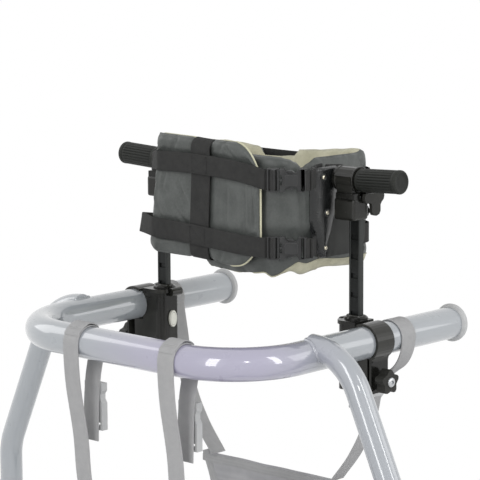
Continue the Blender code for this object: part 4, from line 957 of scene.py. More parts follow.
# A side plate joins the pad to each head bracket: a thin bowed shell with a straight top and a
# tapered round foot, covered in glossy black grained leathercloth that wraps its edge. Three
# rivets in small dimples run down it.
PLATE_Y = (-0.0395, 0.006)
PLATE_Z = (TUBE_Z + 0.092, TUBE_Z + 0.1985)
PLATE_TAPER = (0.0105, 0.023)
PLATE_CORNER_R = 0.0045
PLATE_FOOT_R = 0.0060
PLATE_ROLL = 0.0030
PLATE_BACK = 0.1198
PLATE_FACE = 0.1238
PLATE_BOW = 0.0052
PLATE_FALL = 0.0036
RIVETS = ((-0.0243, TUBE_Z + 0.1866), (-0.0188, TUBE_Z + 0.1450), (-0.0215, TUBE_Z + 0.1041))

plate_gloss, shader, place = new_finish("plate_leathercloth", tone(22, 23, 23), 0.22,
                                        Specular_IOR_Level=0.5)
pebble = place.node("TexVoronoi", {"feature": "SMOOTH_F1"},
                    {"Vector": place, "Scale": 620.0, "Smoothness": 0.6})
crease = place.noise(190.0, 6.0, 0.65)
cloud = place.noise(40.0, 4.0)
# the edges are painted lighter: a painted highlight
corner = place.painted_edge_light(0.52, 0.58)
light = crease * 0.4 + cloud * 0.35 + corner * 0.4
feed(shader, Base_Color=light.mix(tone(10, 11, 11), tone(46, 48, 48)),
     Roughness=cloud * 0.14 + crease * 0.10 + 0.10)
relief(shader, pebble * 0.45 + crease * 0.55, 0.00042, 0.9)
rivet_brass, shader, place = new_finish("rivet_metal", tone(214, 208, 188), 0.24, metallic=1.0)
tarnish = place.noise(900.0, 4.0)
feed(shader, Base_Color=tarnish.mix(tone(186, 176, 148), tone(232, 228, 214)),
     Roughness=tarnish * 0.25 + 0.14)


def held(share):
    """A share kept between 0 and 1."""
    return min(max(share, 0.0), 1.0)


def quarter_round(share):
    """The height of a quarter circle from its outer end at 0 to its top at 1."""
    return math.sqrt(max(1 - (1 - held(share)) ** 2, 0.0))


def plate_edges(z):
    """The front and rear edge of a side plate at a height: a straight top, a tapered round foot."""
    share = (z - PLATE_Z[0]) / (PLATE_Z[1] - PLATE_Z[0])
    front = PLATE_Y[0] + PLATE_TAPER[0] * max((0.42 - share) / 0.42, 0.0) ** 1.1
    rear = PLATE_Y[1] - PLATE_TAPER[1] * held((0.60 - share) / 0.55) ** 1.2
    pinch = (PLATE_CORNER_R * (1 - quarter_round((1 - share) / 0.05))
             + PLATE_FOOT_R * (1 - quarter_round(share / 0.07)))
    return front + pinch, rear - pinch


def plate_point(s, z, v, outside=True):
    """A point of a side plate's skin, with v from its front edge (-1) to its rear edge (1)."""
    front, rear = plate_edges(z)
    y = front + (rear - front) * (v + 1) / 2
    margin = min((1 - abs(v)) * (rear - front) / 2, z - PLATE_Z[0], PLATE_Z[1] - z)
    wave = 0.0006 * noise.noise(Vector((y * 70, z * 45, s)))
    # the face bows out, and falls away towards its front edge
    full = PLATE_FACE + PLATE_BOW * (1 - v * v) + wave
    full -= PLATE_FALL * (max(-v - 0.25, 0.0) / 0.75) ** 1.4
    x = PLATE_BACK + (full - PLATE_BACK) * quarter_round(margin / PLATE_ROLL) * outside
    return Vector((s * x, y, z))


for side_name, s in SIDES:
    rolled = np.array([0.0, 0.0002, 0.0007, 0.0014, 0.0022, 0.0031])
    rows = np.concatenate([PLATE_Z[0] + rolled,
                           np.linspace(PLATE_Z[0] + 0.0042, PLATE_Z[1] - 0.0042, 44),
                           PLATE_Z[1] - rolled[::-1]])
    rings = [[plate_point(s, z, -math.cos(math.pi * k / 30)) for k in range(31)]
             + [plate_point(s, z, v, False) for v in np.linspace(0.96, -0.96, 9)] for z in rows]
    piece("plate_leather_" + side_name, "trunk_support", plate_gloss, *skin(rings),
          slot="black_plastic", sharp=70, stands_for=["side_plate_" + side_name])
    for number, (y, z) in enumerate(RIVETS):
        front, rear = plate_edges(z)
        v = (2 * y - front - rear) / (rear - front)
        face = plate_point(1, z, v).x
        tilt = Vector((s, 0.34 * v, 0)).normalized()
        # the dimple is a low dark rim of gathered leathercloth, and the rivet a shallow dome in it
        for name, finish, slot, form, profile in (
                ("rivet_dimple", plate_gloss, "black_plastic", hoop,
                 ((0.0046, -0.0004), (0.0043, 0.0003), (0.0037, 0.00065), (0.0030, 0.0004),
                  (0.0026, -0.0004))),
                ("rivet", rivet_brass, "steel", skin,
                 ((0.0026, -0.0006), (0.0026, 0.0002), (0.0023, 0.0007), (0.0016, 0.0011),
                  (0.0008, 0.0013), (0.0002, 0.00135)))):
            rings = [circle(Vector((s * face, y, z)) + tilt * lift, Z_WAY.cross(tilt).normalized(),
                            Z_WAY, r, 24) for r, lift in profile]
            piece("%s_%s_%d" % (name, side_name, number), "trunk_support", finish, *form(rings),
                  slot=slot, sharp=70)


# The chest loop is one long foam pad, open at the front left. Its outside is smooth dark grey
# coated cloth and its inside a pale cream lining, which comes out under the lower edge from the
# right side round the back. The cloth is sewn over the foam, so it swells between its seams.
PAD_LOW = TUBE_Z + 0.078
PAD_TOP = TUBE_Z + 0.212
PAD_T = 0.0195
WRAP_ENDS = (-0.010, 0.614)
# heights of the upper edge, lower edge and outer seam, by distance round the loop from the front
WRAP_TOP = ((-0.010, 0.0), (0.060, 0.002), (0.092, 0.0015), (0.110, 0.0003), (0.122, -0.0022),
            (0.138, -0.0068), (0.1472, -0.0142), (0.158, -0.0098), (0.172, -0.0042),
            (0.200, -0.0047), (0.242, -0.0050), (0.262, -0.0020), (0.282, -0.0020),
            (0.306, -0.0045), (0.341, -0.0080), (0.369, -0.0100), (0.379, -0.0185),
            (0.406, -0.0208), (0.426, -0.0212), (0.436, -0.0105), (0.470, -0.0080),
            (0.511, -0.006), (0.533, -0.0035), (0.578, -0.004), (0.614, -0.006))
WRAP_LOW = ((-0.010, 0.008), (0.002, -0.002), (0.020, -0.0035), (0.043, -0.0047), (0.070, -0.003),
            (0.088, -0.001), (0.099, -0.0056), (0.114, -0.002), (0.126, 0.0), (0.149, -0.0052),
            (0.170, -0.003), (0.219, -0.004), (0.262, -0.005), (0.330, -0.002), (0.400, -0.005),
            (0.470, -0.003), (0.560, -0.004), (0.614, 0.0))
WRAP_SEAM = ((-0.010, 0.001), (0.108, 0.0012), (0.122, 0.007), (0.135, 0.0135), (0.164, 0.0145),
             (0.219, 0.0105), (0.262, 0.012), (0.400, 0.011), (0.560, 0.012), (0.614, 0.010))
COVER_T = 0.0012
END_ROUND = 0.012
UPPER_Z = TUBE_Z + 0.1893
LOWER_Z = TUBE_Z + 0.1113
UPPER_RISE = 0.0122
LOWER_RISE = 0.0082
WEB_W = 0.0236
SWELL_FRAMES = 20
COVER_CLOTH = {"quality": 6, "mass": 0.3, "tension_stiffness": 25.0, "compression_stiffness": 25.0,
               "shear_stiffness": 10.0, "bending_stiffness": 0.8, "use_pressure": True,
               "uniform_pressure_force": 4.0, "shrink_min": -0.02}

pad_cover, shader, place = new_finish("pad_cover", tone(84, 87, 85), 0.42, Specular_IOR_Level=0.35)
cloud = place.noise(38.0, 4.0)
mottle = place.noise(420.0, 3.0)
grain = place.cells(1500.0)
shade = (cloud * 0.7 + mottle * 0.3).ease(0.3, 0.7)
feed(shader, Base_Color=shade.mix(tone(75, 78, 76), tone(93, 96, 94)),
     Roughness=cloud * 0.22 + 0.30)
relief(shader, grain * 0.35 + mottle * 0.65, 0.00010)

lining, shader, place = new_finish("cream_lining", tone(190, 187, 164), 0.86, Sheen_Weight=0.15)
cloud = place.noise(45.0, 5.0)
pile = place.noise(1100.0, 3.0)
shade = (cloud * 0.6 + pile * 0.4).ease(0.3, 0.7)
feed(shader, Base_Color=shade.mix(tone(172, 169, 145), tone(206, 203, 180)),
     Roughness=pile * 0.2 + 0.76)
relief(shader, pile, 0.00022)


def corner_points(x, y, radius, start, steps):
    """Points of a round corner about x and y, a quarter turn on from a start in degrees."""
    return [(x + radius * math.cos(math.radians(start + 90 * k / steps)),
             y + radius * math.sin(math.radians(start + 90 * k / steps))) for k in range(steps + 1)]


def loop_plan(half_x, near, far, near_corner, far_corner):
    """The plan of a loop round the chest, walked from the middle of the front to the right.

    Gives a function from a distance to the point there and the direction outwards."""
    turns = ((half_x - near_corner, near + near_corner, near_corner, -90),
             (half_x - far_corner, far - far_corner, far_corner, 0),
             (-half_x + far_corner, far - far_corner, far_corner, 90),
             (-half_x + near_corner, near + near_corner, near_corner, 180))
    line = [(0.0, near)]
    for x, y, radius, start in turns:
        line += corner_points(x, y, radius, start, 30)
    line = np.array(line + [(0.0, near)])
    steps = np.linalg.norm(np.diff(line, axis=0), axis=1)
    run = np.concatenate([[0.0], np.cumsum(steps)])

    def spot(distance):
        here, ahead = [Vector((np.interp(d % run[-1], run, line[:, 0]),
                               np.interp(d % run[-1], run, line[:, 1]), 0.0))
                       for d in (distance - 0.002, distance + 0.002)]
        way = (ahead - here).normalized()
        return (here + ahead) / 2, Vector((way.y, -way.x, 0.0))

    return spot


def table(rows, at_distance):
    """A value read from (distance, value) rows, eased between them."""
    distances, values = zip(*rows)
    i = min(max(int(np.searchsorted(distances, at_distance)), 1), len(rows) - 1)
    share = held((at_distance - distances[i - 1]) / (distances[i] - distances[i - 1]))
    return values[i - 1] + (values[i] - values[i - 1]) * share * share * (3 - 2 * share)


def swell(obj, pins, caps):
    """Blows a sewn pad up as cloth: the pinned points stay, and others move up to their cap."""
    mesh = obj.data
    rest = np.array([v.co for v in mesh.vertices])
    sewn = obj.vertex_groups.new(name="sewn")
    sewn.add(pins, 1.0, "REPLACE")
    cloth = obj.modifiers.new("swell", "CLOTH")
    for name, value in COVER_CLOTH.items():
        setattr(cloth.settings, name, value)
    cloth.settings.effector_weights.gravity = 0.0
    cloth.settings.vertex_group_mass = sewn.name
    cloth.point_cache.frame_start = 1
    cloth.point_cache.frame_end = SWELL_FRAMES
    for step in range(1, SWELL_FRAMES + 1):
        bpy.context.scene.frame_set(step)
    result = obj.evaluated_get(bpy.context.evaluated_depsgraph_get())
    moved = np.array([v.co for v in result.data.vertices]) - rest
    reach = np.linalg.norm(moved, axis=1)
    moved *= np.minimum(1.0, np.array(caps) / np.maximum(reach, 1e-9))[:, None]
    obj.modifiers.remove(cloth)
    obj.vertex_groups.remove(sewn)
    bpy.context.scene.frame_set(1)
    mesh.vertices.foreach_set("co", (rest + moved).astype(np.float32).ravel())
    mesh.update()


def sewn_points(stations, width, seams):
    """The numbers of a pad's points that lie on its seams and round its two ends."""
    pins = [i * width + k for i in range(stations + 1) for k in seams]
    return pins + list(range(width)) + list(range(stations * width, (stations + 1) * width))


def mound(value, centre, width, steep=2):
    """1 where the value is at the centre, falling to 0 on both sides over about the width."""
    return math.exp(-((value - centre) / width) ** steep)


def folded(folds, distance, height):
    """How far a pad's folds draw its cover in: leaning valleys that fade towards their ends."""
    drawn = 0.0
    for centre, lean, width, depth, middle, span in folds:
        rise = height - TUBE_Z - middle
        off = distance - centre - lean * rise
        valley = mound(off, 0.0, width) - 0.5 * mound(off, 0.0, 2.4 * width)
        drawn -= depth * mound(rise, 0.0, span, 4) * valley
    return drawn


# folds of the outer cover: place round the loop, lean, width, depth, middle height over the tube
# and reach
WRAP_FOLDS = ((0.118, 0.05, 0.0035, 0.0030, 0.148, 0.032),
              (0.138, -0.10, 0.0030, 0.0024, 0.150, 0.026),
              (0.156, 0.80, 0.0028, 0.0030, 0.128, 0.014),
              (0.104, -0.10, 0.0040, 0.0020, 0.086, 0.012),
              (0.120, 0.90, 0.0036, 0.0044, 0.204, 0.012),
              (0.134, 0.50, 0.0030, 0.0034, 0.196, 0.010),
              (0.158, -0.70, 0.0036, 0.0040, 0.204, 0.012),
              (0.180, -0.90, 0.0034, 0.0034, 0.204, 0.010),
              (0.226, 0.60, 0.0040, 0.0036, 0.200, 0.014),
              (0.246, -0.30, 0.0034, 0.0036, 0.196, 0.020),
              (0.300, 0.35, 0.0060, 0.0026, 0.150, 0.030),
              (0.352, -0.30, 0.0055, 0.0022, 0.140, 0.030),
              (0.410, 0.20, 0.0065, 0.0028, 0.155, 0.034),
              (0.455, -0.25, 0.0050, 0.0024, 0.135, 0.030),
              (0.560, 0.30, 0.0050, 0.0020, 0.145, 0.030))


def pressed(height, depth, climb=0.0):
    """How far the two level straps press a pad in at a height, where they have climbed this far."""
    return -depth * sum(mound(height, z + rise * climb, 0.60 * WEB_W, 6)
                        for z, rise in ((UPPER_Z, UPPER_RISE), (LOWER_Z, LOWER_RISE)))


wrap_spot = loop_plan(0.119, -0.088, 0.078, 0.040, 0.018)
STATIONS, UNDER_ROWS, COVER_ROWS, LINING_ROWS = 156, 5, 24, 26
rings, caps, seam_line = [], [], []
for i in range(STATIONS + 1):
    d = WRAP_ENDS[0] + (WRAP_ENDS[1] - WRAP_ENDS[0]) * i / STATIONS
    here, out = wrap_spot(d)
    low, top = PAD_LOW + table(WRAP_LOW, d), PAD_TOP + table(WRAP_TOP, d)
    seam = table(WRAP_SEAM, d) / (top - low)
    fill = 0.12 + 0.88 * quarter_round(min(d - WRAP_ENDS[0], WRAP_ENDS[1] - d) / END_ROUND)
    shares = [seam * k / UNDER_ROWS for k in range(UNDER_ROWS)]
    shares += [seam + (1 - seam) * (eased(k / COVER_ROWS) + k / COVER_ROWS) / 2
               for k in range(COVER_ROWS)]
    ring = []
    for u in shares:
        z = low + (top - low) * u
        full = (1.0 - abs(2 * u - 1) ** 7) ** 0.55
        # the straps press harder on the short free end at the front
        tight = 0.0022 if 0.08 < d < 0.18 else 0.0008
        r = (PAD_T / 2 - COVER_T) * fill + folded(WRAP_FOLDS, d, z) + pressed(z, tight)
        ring.append(here + out * (r * full - PAD_T / 2) + Z_WAY * z)
        caps.append(0.0012 if d < 0.175 or d > 0.52 else 0.0030)
    for k in range(LINING_ROWS):
        u = 1.0 - k / LINING_ROWS
        full = (1.0 - abs(2 * u - 1) ** 5) ** 0.6
        z = low + (top - low) * u
        r = 0.0016 * noise.noise(Vector((d * 26, z * 22, 3.0))) - (PAD_T / 2 - COVER_T) * fill
        ring.append(here + out * (r * full - PAD_T / 2) + Z_WAY * z)
        caps.append(0.0055)
    rings.append(ring)
    seam_line.append(ring[UNDER_ROWS] + out * 0.0004)
width = len(rings[0])
wrap = piece("chest_loop", "trunk_support", pad_cover, *skin(rings), slot="pad_cover", sharp=180,
             stands_for=["trunk_pad_wrap"])
wrap.data.materials.append(lining)
top_row = UNDER_ROWS + COVER_ROWS
for face in wrap.data.polygons:
    row = min(index % width for index in face.vertices)
    if {0, width - 1} <= {index % width for index in face.vertices}:
        row = width - 1
    if len(face.vertices) == 4 and not UNDER_ROWS <= row < top_row:
        face.material_index = 1
swell(wrap, sewn_points(STATIONS, width, (UNDER_ROWS, top_row)), caps)
piece("chest_loop_welt", "trunk_support", lining, *skin(tube_rings(seam_line[20:], 0.0008, 8)),
      slot="pad_cover")


# The front pad is a separate flat cushion of the same grey cloth over foam, held against the
# chest by the two straps. Its left edge leans, its right corners are round, and a cream piping
# is sewn into its edge. The piping lies on the edge at the right, and behind it elsewhere.
FLAP_T = 0.013
FLAP_CLOTH_T = 0.0004
FLAP_LOW = TUBE_Z + 0.088
FLAP_TOP = TUBE_Z + 0.2315
FLAP_ENDS = (-0.0735, 0.0965)
FLAP_LEAN = 0.009
PIPING_R = 0.0013
CROSS_X = 0.007
CROSS_W = 0.030
FLAP_FOLDS = ((0.046, 0.02, 0.0030, 0.0020, 0.150, 0.030),
              (0.074, 0.00, 0.0030, 0.0026, 0.150, 0.040),
              (0.087, -0.08, 0.0028, 0.0028, 0.148, 0.034),
              (-0.048, -0.75, 0.0032, 0.0030, 0.152, 0.018),
              (-0.034, -0.95, 0.0034, 0.0038, 0.144, 0.020),
              (-0.022, -0.70, 0.0028, 0.0028, 0.160, 0.016),
              (-0.060, -0.50, 0.0028, 0.0024, 0.136, 0.012),
              (-0.040, 0.55, 0.0034, 0.0022, 0.220, 0.008),
              (-0.056, 0.20, 0.0030, 0.0020, 0.180, 0.012),
              (0.052, -0.80, 0.0034, 0.0030, 0.218, 0.010),
              (0.038, 0.90, 0.0032, 0.0024, 0.222, 0.008),
              (0.034, 0.50, 0.0040, 0.0022, 0.090, 0.010))

flap_spot = loop_plan(0.135, -0.104, 0.091, 0.053, 0.053)
STATIONS, FACE_ROWS = 84, 46


def flap_edges(t):
    """The heights of the front pad's lower and upper edge, by the share of its length."""
    top = FLAP_TOP - 0.036 * max((t - 0.76) / 0.24, 0.0) ** 2.4 - 0.003 * t
    low = (FLAP_LOW - 0.0035 * mound(t, 0.72, 0.12) + 0.030 * max((t - 0.80) / 0.20, 0.0) ** 2
           + 0.011 * max((0.07 - t) / 0.07, 0.0) ** 2)
    # the strap round the pad's middle draws both edges in
    pinch = 0.0022 * mound(t, 0.4735, 0.100, 6)
    return low + pinch, top - pinch


rings, caps = [], []
for i in range(STATIONS + 1):
    t = i / STATIONS
    d = FLAP_ENDS[0] + (FLAP_ENDS[1] - FLAP_ENDS[0]) * t
    here, out = flap_spot(d)
    low, top = flap_edges(t)
    fill = quarter_round(min(t, 1 - t) / 0.075)
    climb = 1 - math.exp(-max(0.1035 - here.x, 0.0) / 0.05)
    cross = mound(here.x, CROSS_X, 0.55 * CROSS_W, 6)
    ring = []
    for face, rows in (("out", range(FACE_ROWS)), ("in", range(FACE_ROWS, 0, -1))):
        for k in rows:
            u = 0.35 * eased(k / FACE_ROWS) + 0.65 * k / FACE_ROWS
            z = low + (top - low) * u
            full = (1.0 - abs(2 * u - 1) ** 8) ** 0.55 * fill
            lean = FLAP_LEAN * (1 - t) ** 2 * (2 * u - 1)
            r = FLAP_T / 2 - FLAP_CLOTH_T
            if face == "out":
                r += pressed(z, 0.0018, climb) * (1 - cross) - 0.0014 * cross
                # the part above the upper strap tips forward
                r += 0.0042 * held((z - UPPER_Z - 0.020) / 0.015) + folded(FLAP_FOLDS, d, z)
                caps.append(0.0022)
            else:
                r *= -1
                caps.append(0.0010)
            ring.append(here + out * (r * full - FLAP_T / 2) + Vector((lean, 0, z)))
    rings.append(ring)
width = len(rings[0])
flap = piece("front_pad", "trunk_support", pad_cover, *skin(rings), slot="pad_cover", sharp=180,
             stands_for=["trunk_pad_flap"])
swell(flap, sewn_points(STATIONS, width, (0, FACE_ROWS)), caps)

cream_piping, shader, place = new_finish("cream_piping", tone(206, 204, 176), 0.6)
fleck = place.noise(700.0, 3.0)
feed(shader, Base_Color=fleck.mix(tone(190, 187, 158), tone(218, 216, 190)),
     Roughness=fleck * 0.25 + 0.48)
relief(shader, fleck, 0.00012)
middle_z = (FLAP_LOW + FLAP_TOP) / 2


def piping_spot(i, k, shown_from):
    """A point of the piping: on the pad's edge from a share of its length on, and tucked before."""
    tucked = 1 - held((i / STATIONS - shown_from + 0.08) / 0.08)
    out = flap_spot(FLAP_ENDS[0] + (FLAP_ENDS[1] - FLAP_ENDS[0]) * i / STATIONS)[1]
    inward = Vector((0.0012 * (i == 0), 0, math.copysign(0.0016, middle_z - rings[i][k].z)))
    return rings[i][k] + (inward - out * 0.0058) * tucked


loop = [piping_spot(i, FACE_ROWS, 0.80) for i in range(1, STATIONS)]
loop += [piping_spot(STATIONS, k, 0.5) for k in range(FACE_ROWS, -1, -2)]
loop += [piping_spot(i, 0, 0.74) for i in range(STATIONS - 1, 0, -1)]
loop += [piping_spot(0, k, 0.5) for k in range(0, FACE_ROWS + 1, 2)]
for _ in range(2):
    loop = [(loop[i - 1] + loop[i] * 2 + loop[(i + 1) % len(loop)]) / 4 for i in range(len(loop))]
piece("front_pad_piping", "trunk_support", cream_piping,
      *skin(tube_rings(loop + loop[:1], PIPING_R, 10), ends=False), slot="pad_cover", sharp=180)


# Three black webbing straps hold the front pad. A wide one is sewn down its middle and over its
# top and bottom edges. Two more cross it on top of that one, from the left side plate round in a
# free loop to a buckle at the right. They go on round the back of the chest loop.
CROSS_LEAN = 0.0035
PLUG_AT = Vector((0.1069, -0.0983, 0.0))
BUCKLE_YAW = math.radians(38)
BUCKLE_WAY = Vector((math.cos(BUCKLE_YAW), math.sin(BUCKLE_YAW), 0.0))
BUCKLE_OUT = Vector((math.sin(BUCKLE_YAW), -math.cos(BUCKLE_YAW), 0.0))
WEB_T = 0.0014
FREE_RUN = {"upper": ((-0.1200, -0.0200), (-0.1205, -0.0300), (-0.1212, -0.0400),
                      (-0.1214, -0.0490), (-0.1180, -0.0565), (-0.1060, -0.0672),
                      (-0.0880, -0.0830), (-0.0700, -0.0985), (-0.0640, -0.1035),
                      (-0.0590, -0.1058)),
            "lower": ((-0.1200, -0.0200), (-0.1208, -0.0300), (-0.1220, -0.0420),
                      (-0.1230, -0.0600), (-0.1222, -0.0700), (-0.1180, -0.0775),
                      (-0.1060, -0.0852), (-0.0900, -0.0950), (-0.0760, -0.1030),
                      (-0.0705, -0.1056))}
PAD_FROM = {"upper": -0.0515, "lower": -0.0625}
# the middle heights of the level straps over the pad, by x
LEVELS = {"upper": ((-0.125, 0.1960), (-0.0615, 0.1990), (-0.030, 0.2002), (-0.004, 0.2004),
                    (0.030, 0.1993), (0.067, 0.1968), (0.090, 0.1938), (0.100, 0.1912),
                    (0.107, 0.1893)),
          "lower": ((-0.125, 0.1200), (-0.065, 0.1190), (-0.030, 0.1180), (-0.004, 0.1170),
                    (0.030, 0.1148), (0.067, 0.1125), (0.107, 0.1113))}

black_web = webbing_finish("black_webbing", tone(36, 36, 36), tone(70, 70, 69), 0.0015, 0.15)
black_thread = thread_finish("black_thread", tone(40, 40, 40), tone(32, 32, 32),
                             tone(52, 52, 52), 0.7, Specular_IOR_Level=0.2)


def strap_height(level, x):
    """The middle height of a level strap: it climbs from its buckle to the left."""
    return TUBE_Z + float(np.interp(x, *zip(*LEVELS[level])))


over_pad = loop_plan(0.1370, -0.1060, 0.0930, 0.055, 0.055)
for level in LEVELS:
    plan = [Vector((x, y, 0.0)) for x, y in FREE_RUN[level]]
    corner = len(plan)
    for d in np.arange(PAD_FROM[level], 0.0985, 0.0068):
        here, out = over_pad(d)
        plan.append(here + out * (0.0012 * mound(here.x, CROSS_X, 0.62 * CROSS_W, 4)))
    # the end goes under the plug's rim, up through its slot, over the bar and back below
    plan += [PLUG_AT + BUCKLE_WAY * u + BUCKLE_OUT * w
             for u, w in ((-0.0045, 0.0006), (-0.0008, -0.0012), (0.0022, -0.0002),
                          (0.0036, 0.0021), (0.0060, 0.0029), (0.0086, 0.0023),
                          (0.0104, 0.0002), (0.0096, -0.0022), (0.0060, -0.0030),
                          (0.0030, -0.0030))]
    path, sides = [], []
    for p in smooth_path(plan, 0.0018):
        # the free loop sinks to its end behind the left plate, and its top leans in
        loose = held((p.y - plan[corner].y) / 0.075) if p.x < -0.05 else 0.0
        sunk = 0.0085 * loose * loose * (3 - 2 * loose)
        path.append(p + Z_WAY * (strap_height(level, p.x) - sunk))
        lean = 0.16 * math.sin(math.pi * min(loose * 1.2, 1.0))
        sides.append(Vector((lean * 0.73, lean * 0.68, 1.0)))
    ribbon("%s_strap_woven" % level, "trunk_support", black_web, path, sides, WEB_W, WEB_T,
           "black_webbing", stands_for=["%s_strap" % level])


def cross_x(z):
    """The middle of the cross strap at a height: it leans a little."""
    return CROSS_X + CROSS_LEAN * (2 * (z - FLAP_LOW) / (FLAP_TOP - FLAP_LOW) - 1)


face_y = -0.1044
line = ((-0.0890, FLAP_TOP - 0.0150), (-0.0890, FLAP_TOP - 0.0095), (-0.0912, FLAP_TOP - 0.0040),
        (-0.0975, FLAP_TOP - 0.0022), (-0.1030, FLAP_TOP - 0.0050), (-0.1060, FLAP_TOP - 0.0094),
        (-0.1066, FLAP_TOP - 0.0145), (-0.1056, UPPER_Z + 0.022), (face_y, UPPER_Z),
        (face_y, UPPER_Z - 0.020), (face_y, (UPPER_Z + LOWER_Z) / 2), (face_y, LOWER_Z + 0.020),
        (face_y, LOWER_Z),
        (-0.1042, FLAP_LOW + 0.0140), (-0.1030, FLAP_LOW + 0.0074), (-0.1005, FLAP_LOW + 0.0022),
        (-0.0965, FLAP_LOW - 0.0002), (-0.0915, FLAP_LOW + 0.0008), (-0.0890, FLAP_LOW + 0.0070))
path = smooth_path([(cross_x(z), y, z) for y, z in line], 0.0018)
level_side = (1, 0, -2 * CROSS_LEAN / (FLAP_TOP - FLAP_LOW))
ribbon("cross_strap_woven", "trunk_support", black_web, path, level_side, CROSS_W, WEB_T,
       "black_webbing", stands_for=["cross_strap"])
for level in LEVELS:
    z = strap_height(level, CROSS_X)
    stitched("cross_stitches_" + level, "trunk_support", black_thread,
             ((cross_x(z), -0.1072 - WEB_T * 0.38, z), (1, 0, -0.05), Z_WAY, -Y_WAY),
             box_of_lines(-0.0118, 0.0118, -0.0100, 0.0100), "black_webbing")

# the straps' other runs: from the left plate round the back of the loop to the right plate
wrap_shape = BVHTree.FromPolygons([v.co for v in wrap.data.vertices],
                                  [tuple(f.vertices) for f in wrap.data.polygons])


def lying_on_wrap(distance, heights):
    """How far out a strap at these heights lies on the swollen cover."""
    here, out = wrap_spot(distance)
    lifts = [-0.003]
    for z in heights:
        hit = wrap_shape.ray_cast(here + out * 0.03 + Z_WAY * z, -out, 0.06)[0]
        if hit:
            lifts.append((hit - here).dot(out))
    return max(lifts)


BACK_RUN = (0.176, 0.592)
BACK_HEIGHTS = {"upper": ((BACK_RUN[0], 0.1885), (0.200, 0.1865), (0.225, 0.1800),
                          (0.247, 0.1755), (0.275, 0.1760), (0.310, 0.1800), (0.345, 0.1845),
                          (0.371, 0.1858), (BACK_RUN[1], 0.1858)),
                "lower": ((BACK_RUN[0], 0.1113), (BACK_RUN[1], 0.1113))}
for level, rows in BACK_HEIGHTS.items():
    places = np.arange(*BACK_RUN, 0.008)
    heights = [TUBE_Z + float(np.interp(d, *zip(*rows))) for d in places]
    lifts = [lying_on_wrap(d, [z + WEB_W * (k / 10 - 0.5) for k in range(11)])
             for d, z in zip(places, heights)]
    # the strap bridges the cover's hollows: the highest of three neighbours, then their mean
    for settle in (max, np.mean):
        lifts = [float(settle(lifts[max(i - 1, 0):i + 2])) for i in range(len(lifts))]
    plan = []
    for d, lift, z in zip(places, lifts, heights):
        here, out = wrap_spot(d)
        plan.append(here + out * (lift + WEB_T / 2 + 0.0002) + Z_WAY * z)
    ribbon("%s_strap_back_run" % level, "trunk_support", black_web, smooth_path(plan), Z_WAY,
           WEB_W, WEB_T, "black_webbing")

# each side of the loop behind the plates is made darker by a thin dark sheet laid on it
panel_cloth, shader, place = new_finish("panel_cloth", tone(46, 47, 46), 0.8)
axes = place.x_axis()
threads = axes.also(1).wave(0.0011) * 0.5 + axes.also(2).wave(0.0011) * 0.5
cloud = place.noise(60.0, 4.0)
shade = (cloud * 0.7 + threads * 0.3).ease(0.2, 0.8)
feed(shader, Base_Color=shade.mix(tone(38, 39, 38), tone(55, 56, 54)),
     Roughness=cloud * 0.2 + 0.68)
relief(shader, threads * 0.6 + cloud * 0.4, 0.00020)
PANEL_LOW = PAD_LOW + 0.013
PANEL_TALL = 0.044
PANEL_ROWS = 12
for side_name, d0, d1 in (("right", 0.180, 0.247), ("left", 0.515, 0.582)):
    rings = []
    for d in np.linspace(d0, d1, 30):
        here, out = wrap_spot(d)
        end = min(d - d0, d1 - d)
        ring = []
        for face in (1, -1):
            for k in range(PANEL_ROWS + 1):
                u = k / PANEL_ROWS if face == 1 else 1 - k / PANEL_ROWS
                z = PANEL_LOW + PANEL_TALL * u
                lift = lying_on_wrap(d, [z]) + (0.0030 if face == 1 else 0.0018)
                lift -= 0.0006 * max(abs(2 * u - 1) ** 12, max(0.0, 1 - end / 0.004) ** 2)
                ring.append(here + out * lift + Z_WAY * z)
        rings.append(ring)
    piece("side_panel_" + side_name, "trunk_support", panel_cloth, *skin(rings),
          slot="black_webbing", sharp=60)


# Two side-release buckles of matt black acetal hold the front pad's straps. The plug has a ladder
# end with the strap wound on its bar, and two springy prongs that click into the hollow body.
BUCKLE_TIP = 0.0465
BUCKLE_HALF = 0.0134
SLOT_HALF = 0.0118
PLUG_SLOT_HALF = 0.0119
TAIL_W = 0.0232
TAIL_T = 0.0012

buckle_black, shader, place = new_finish("buckle_black", tone(28, 28, 29), 0.36,
                                         Specular_IOR_Level=0.35)
cloud = place.noise(75.0, 5.0)
spark = place.cells(2100.0)
# the outer edges are painted much lighter: a painted highlight
corner = place.painted_edge_light(0.53, 0.62)
feed(shader, Base_Color=(cloud * 0.3 + corner * 0.7).mix(tone(14, 14, 15), tone(90, 91, 91)),
     Roughness=cloud * 0.16 + 0.30)
relief(shader, spark * 0.7 + cloud * 0.3, 0.00012)


def moulding(name, body, outlines, low, high, round_off, stands_for=()):
    """A flat part of a buckle: closed outlines, the first the outer edge and the rest its holes,
    from low to high over the middle plane. The name says which of the two buckles it is in."""
    origin = PLUG_AT + Z_WAY * (UPPER_Z if "upper" in name else LOWER_Z)
    work = bmesh.new()
    edges = []
    for outline in outlines:
        corners = [work.verts.new(origin + BUCKLE_WAY * u + Z_WAY * v + BUCKLE_OUT * low)
                   for u, v in outline]
        edges += [work.edges.new((corners[i - 1], corners[i])) for i in range(len(corners))]
    bmesh.ops.triangle_fill(work, use_beauty=True, edges=edges)
    bmesh.ops.dissolve_limit(work, angle_limit=0.01, verts=work.verts, edges=work.edges)
    top = bmesh.ops.extrude_face_region(work, geom=list(work.faces))["geom"]
    bmesh.ops.translate(work, vec=BUCKLE_OUT * (high - low),
                        verts=[v for v in top if isinstance(v, bmesh.types.BMVert)])
    bmesh.ops.recalc_face_normals(work, faces=work.faces)
    points = [v.co.copy() for v in work.verts]
    work.verts.index_update()
    faces = [tuple(v.index for v in f.verts) for f in work.faces]
    work.free()
    made = piece(name, body, buckle_black, points, faces, slot="buckle_plastic", sharp=35,
                 stands_for=stands_for)
    rounded(made, round_off, 50)


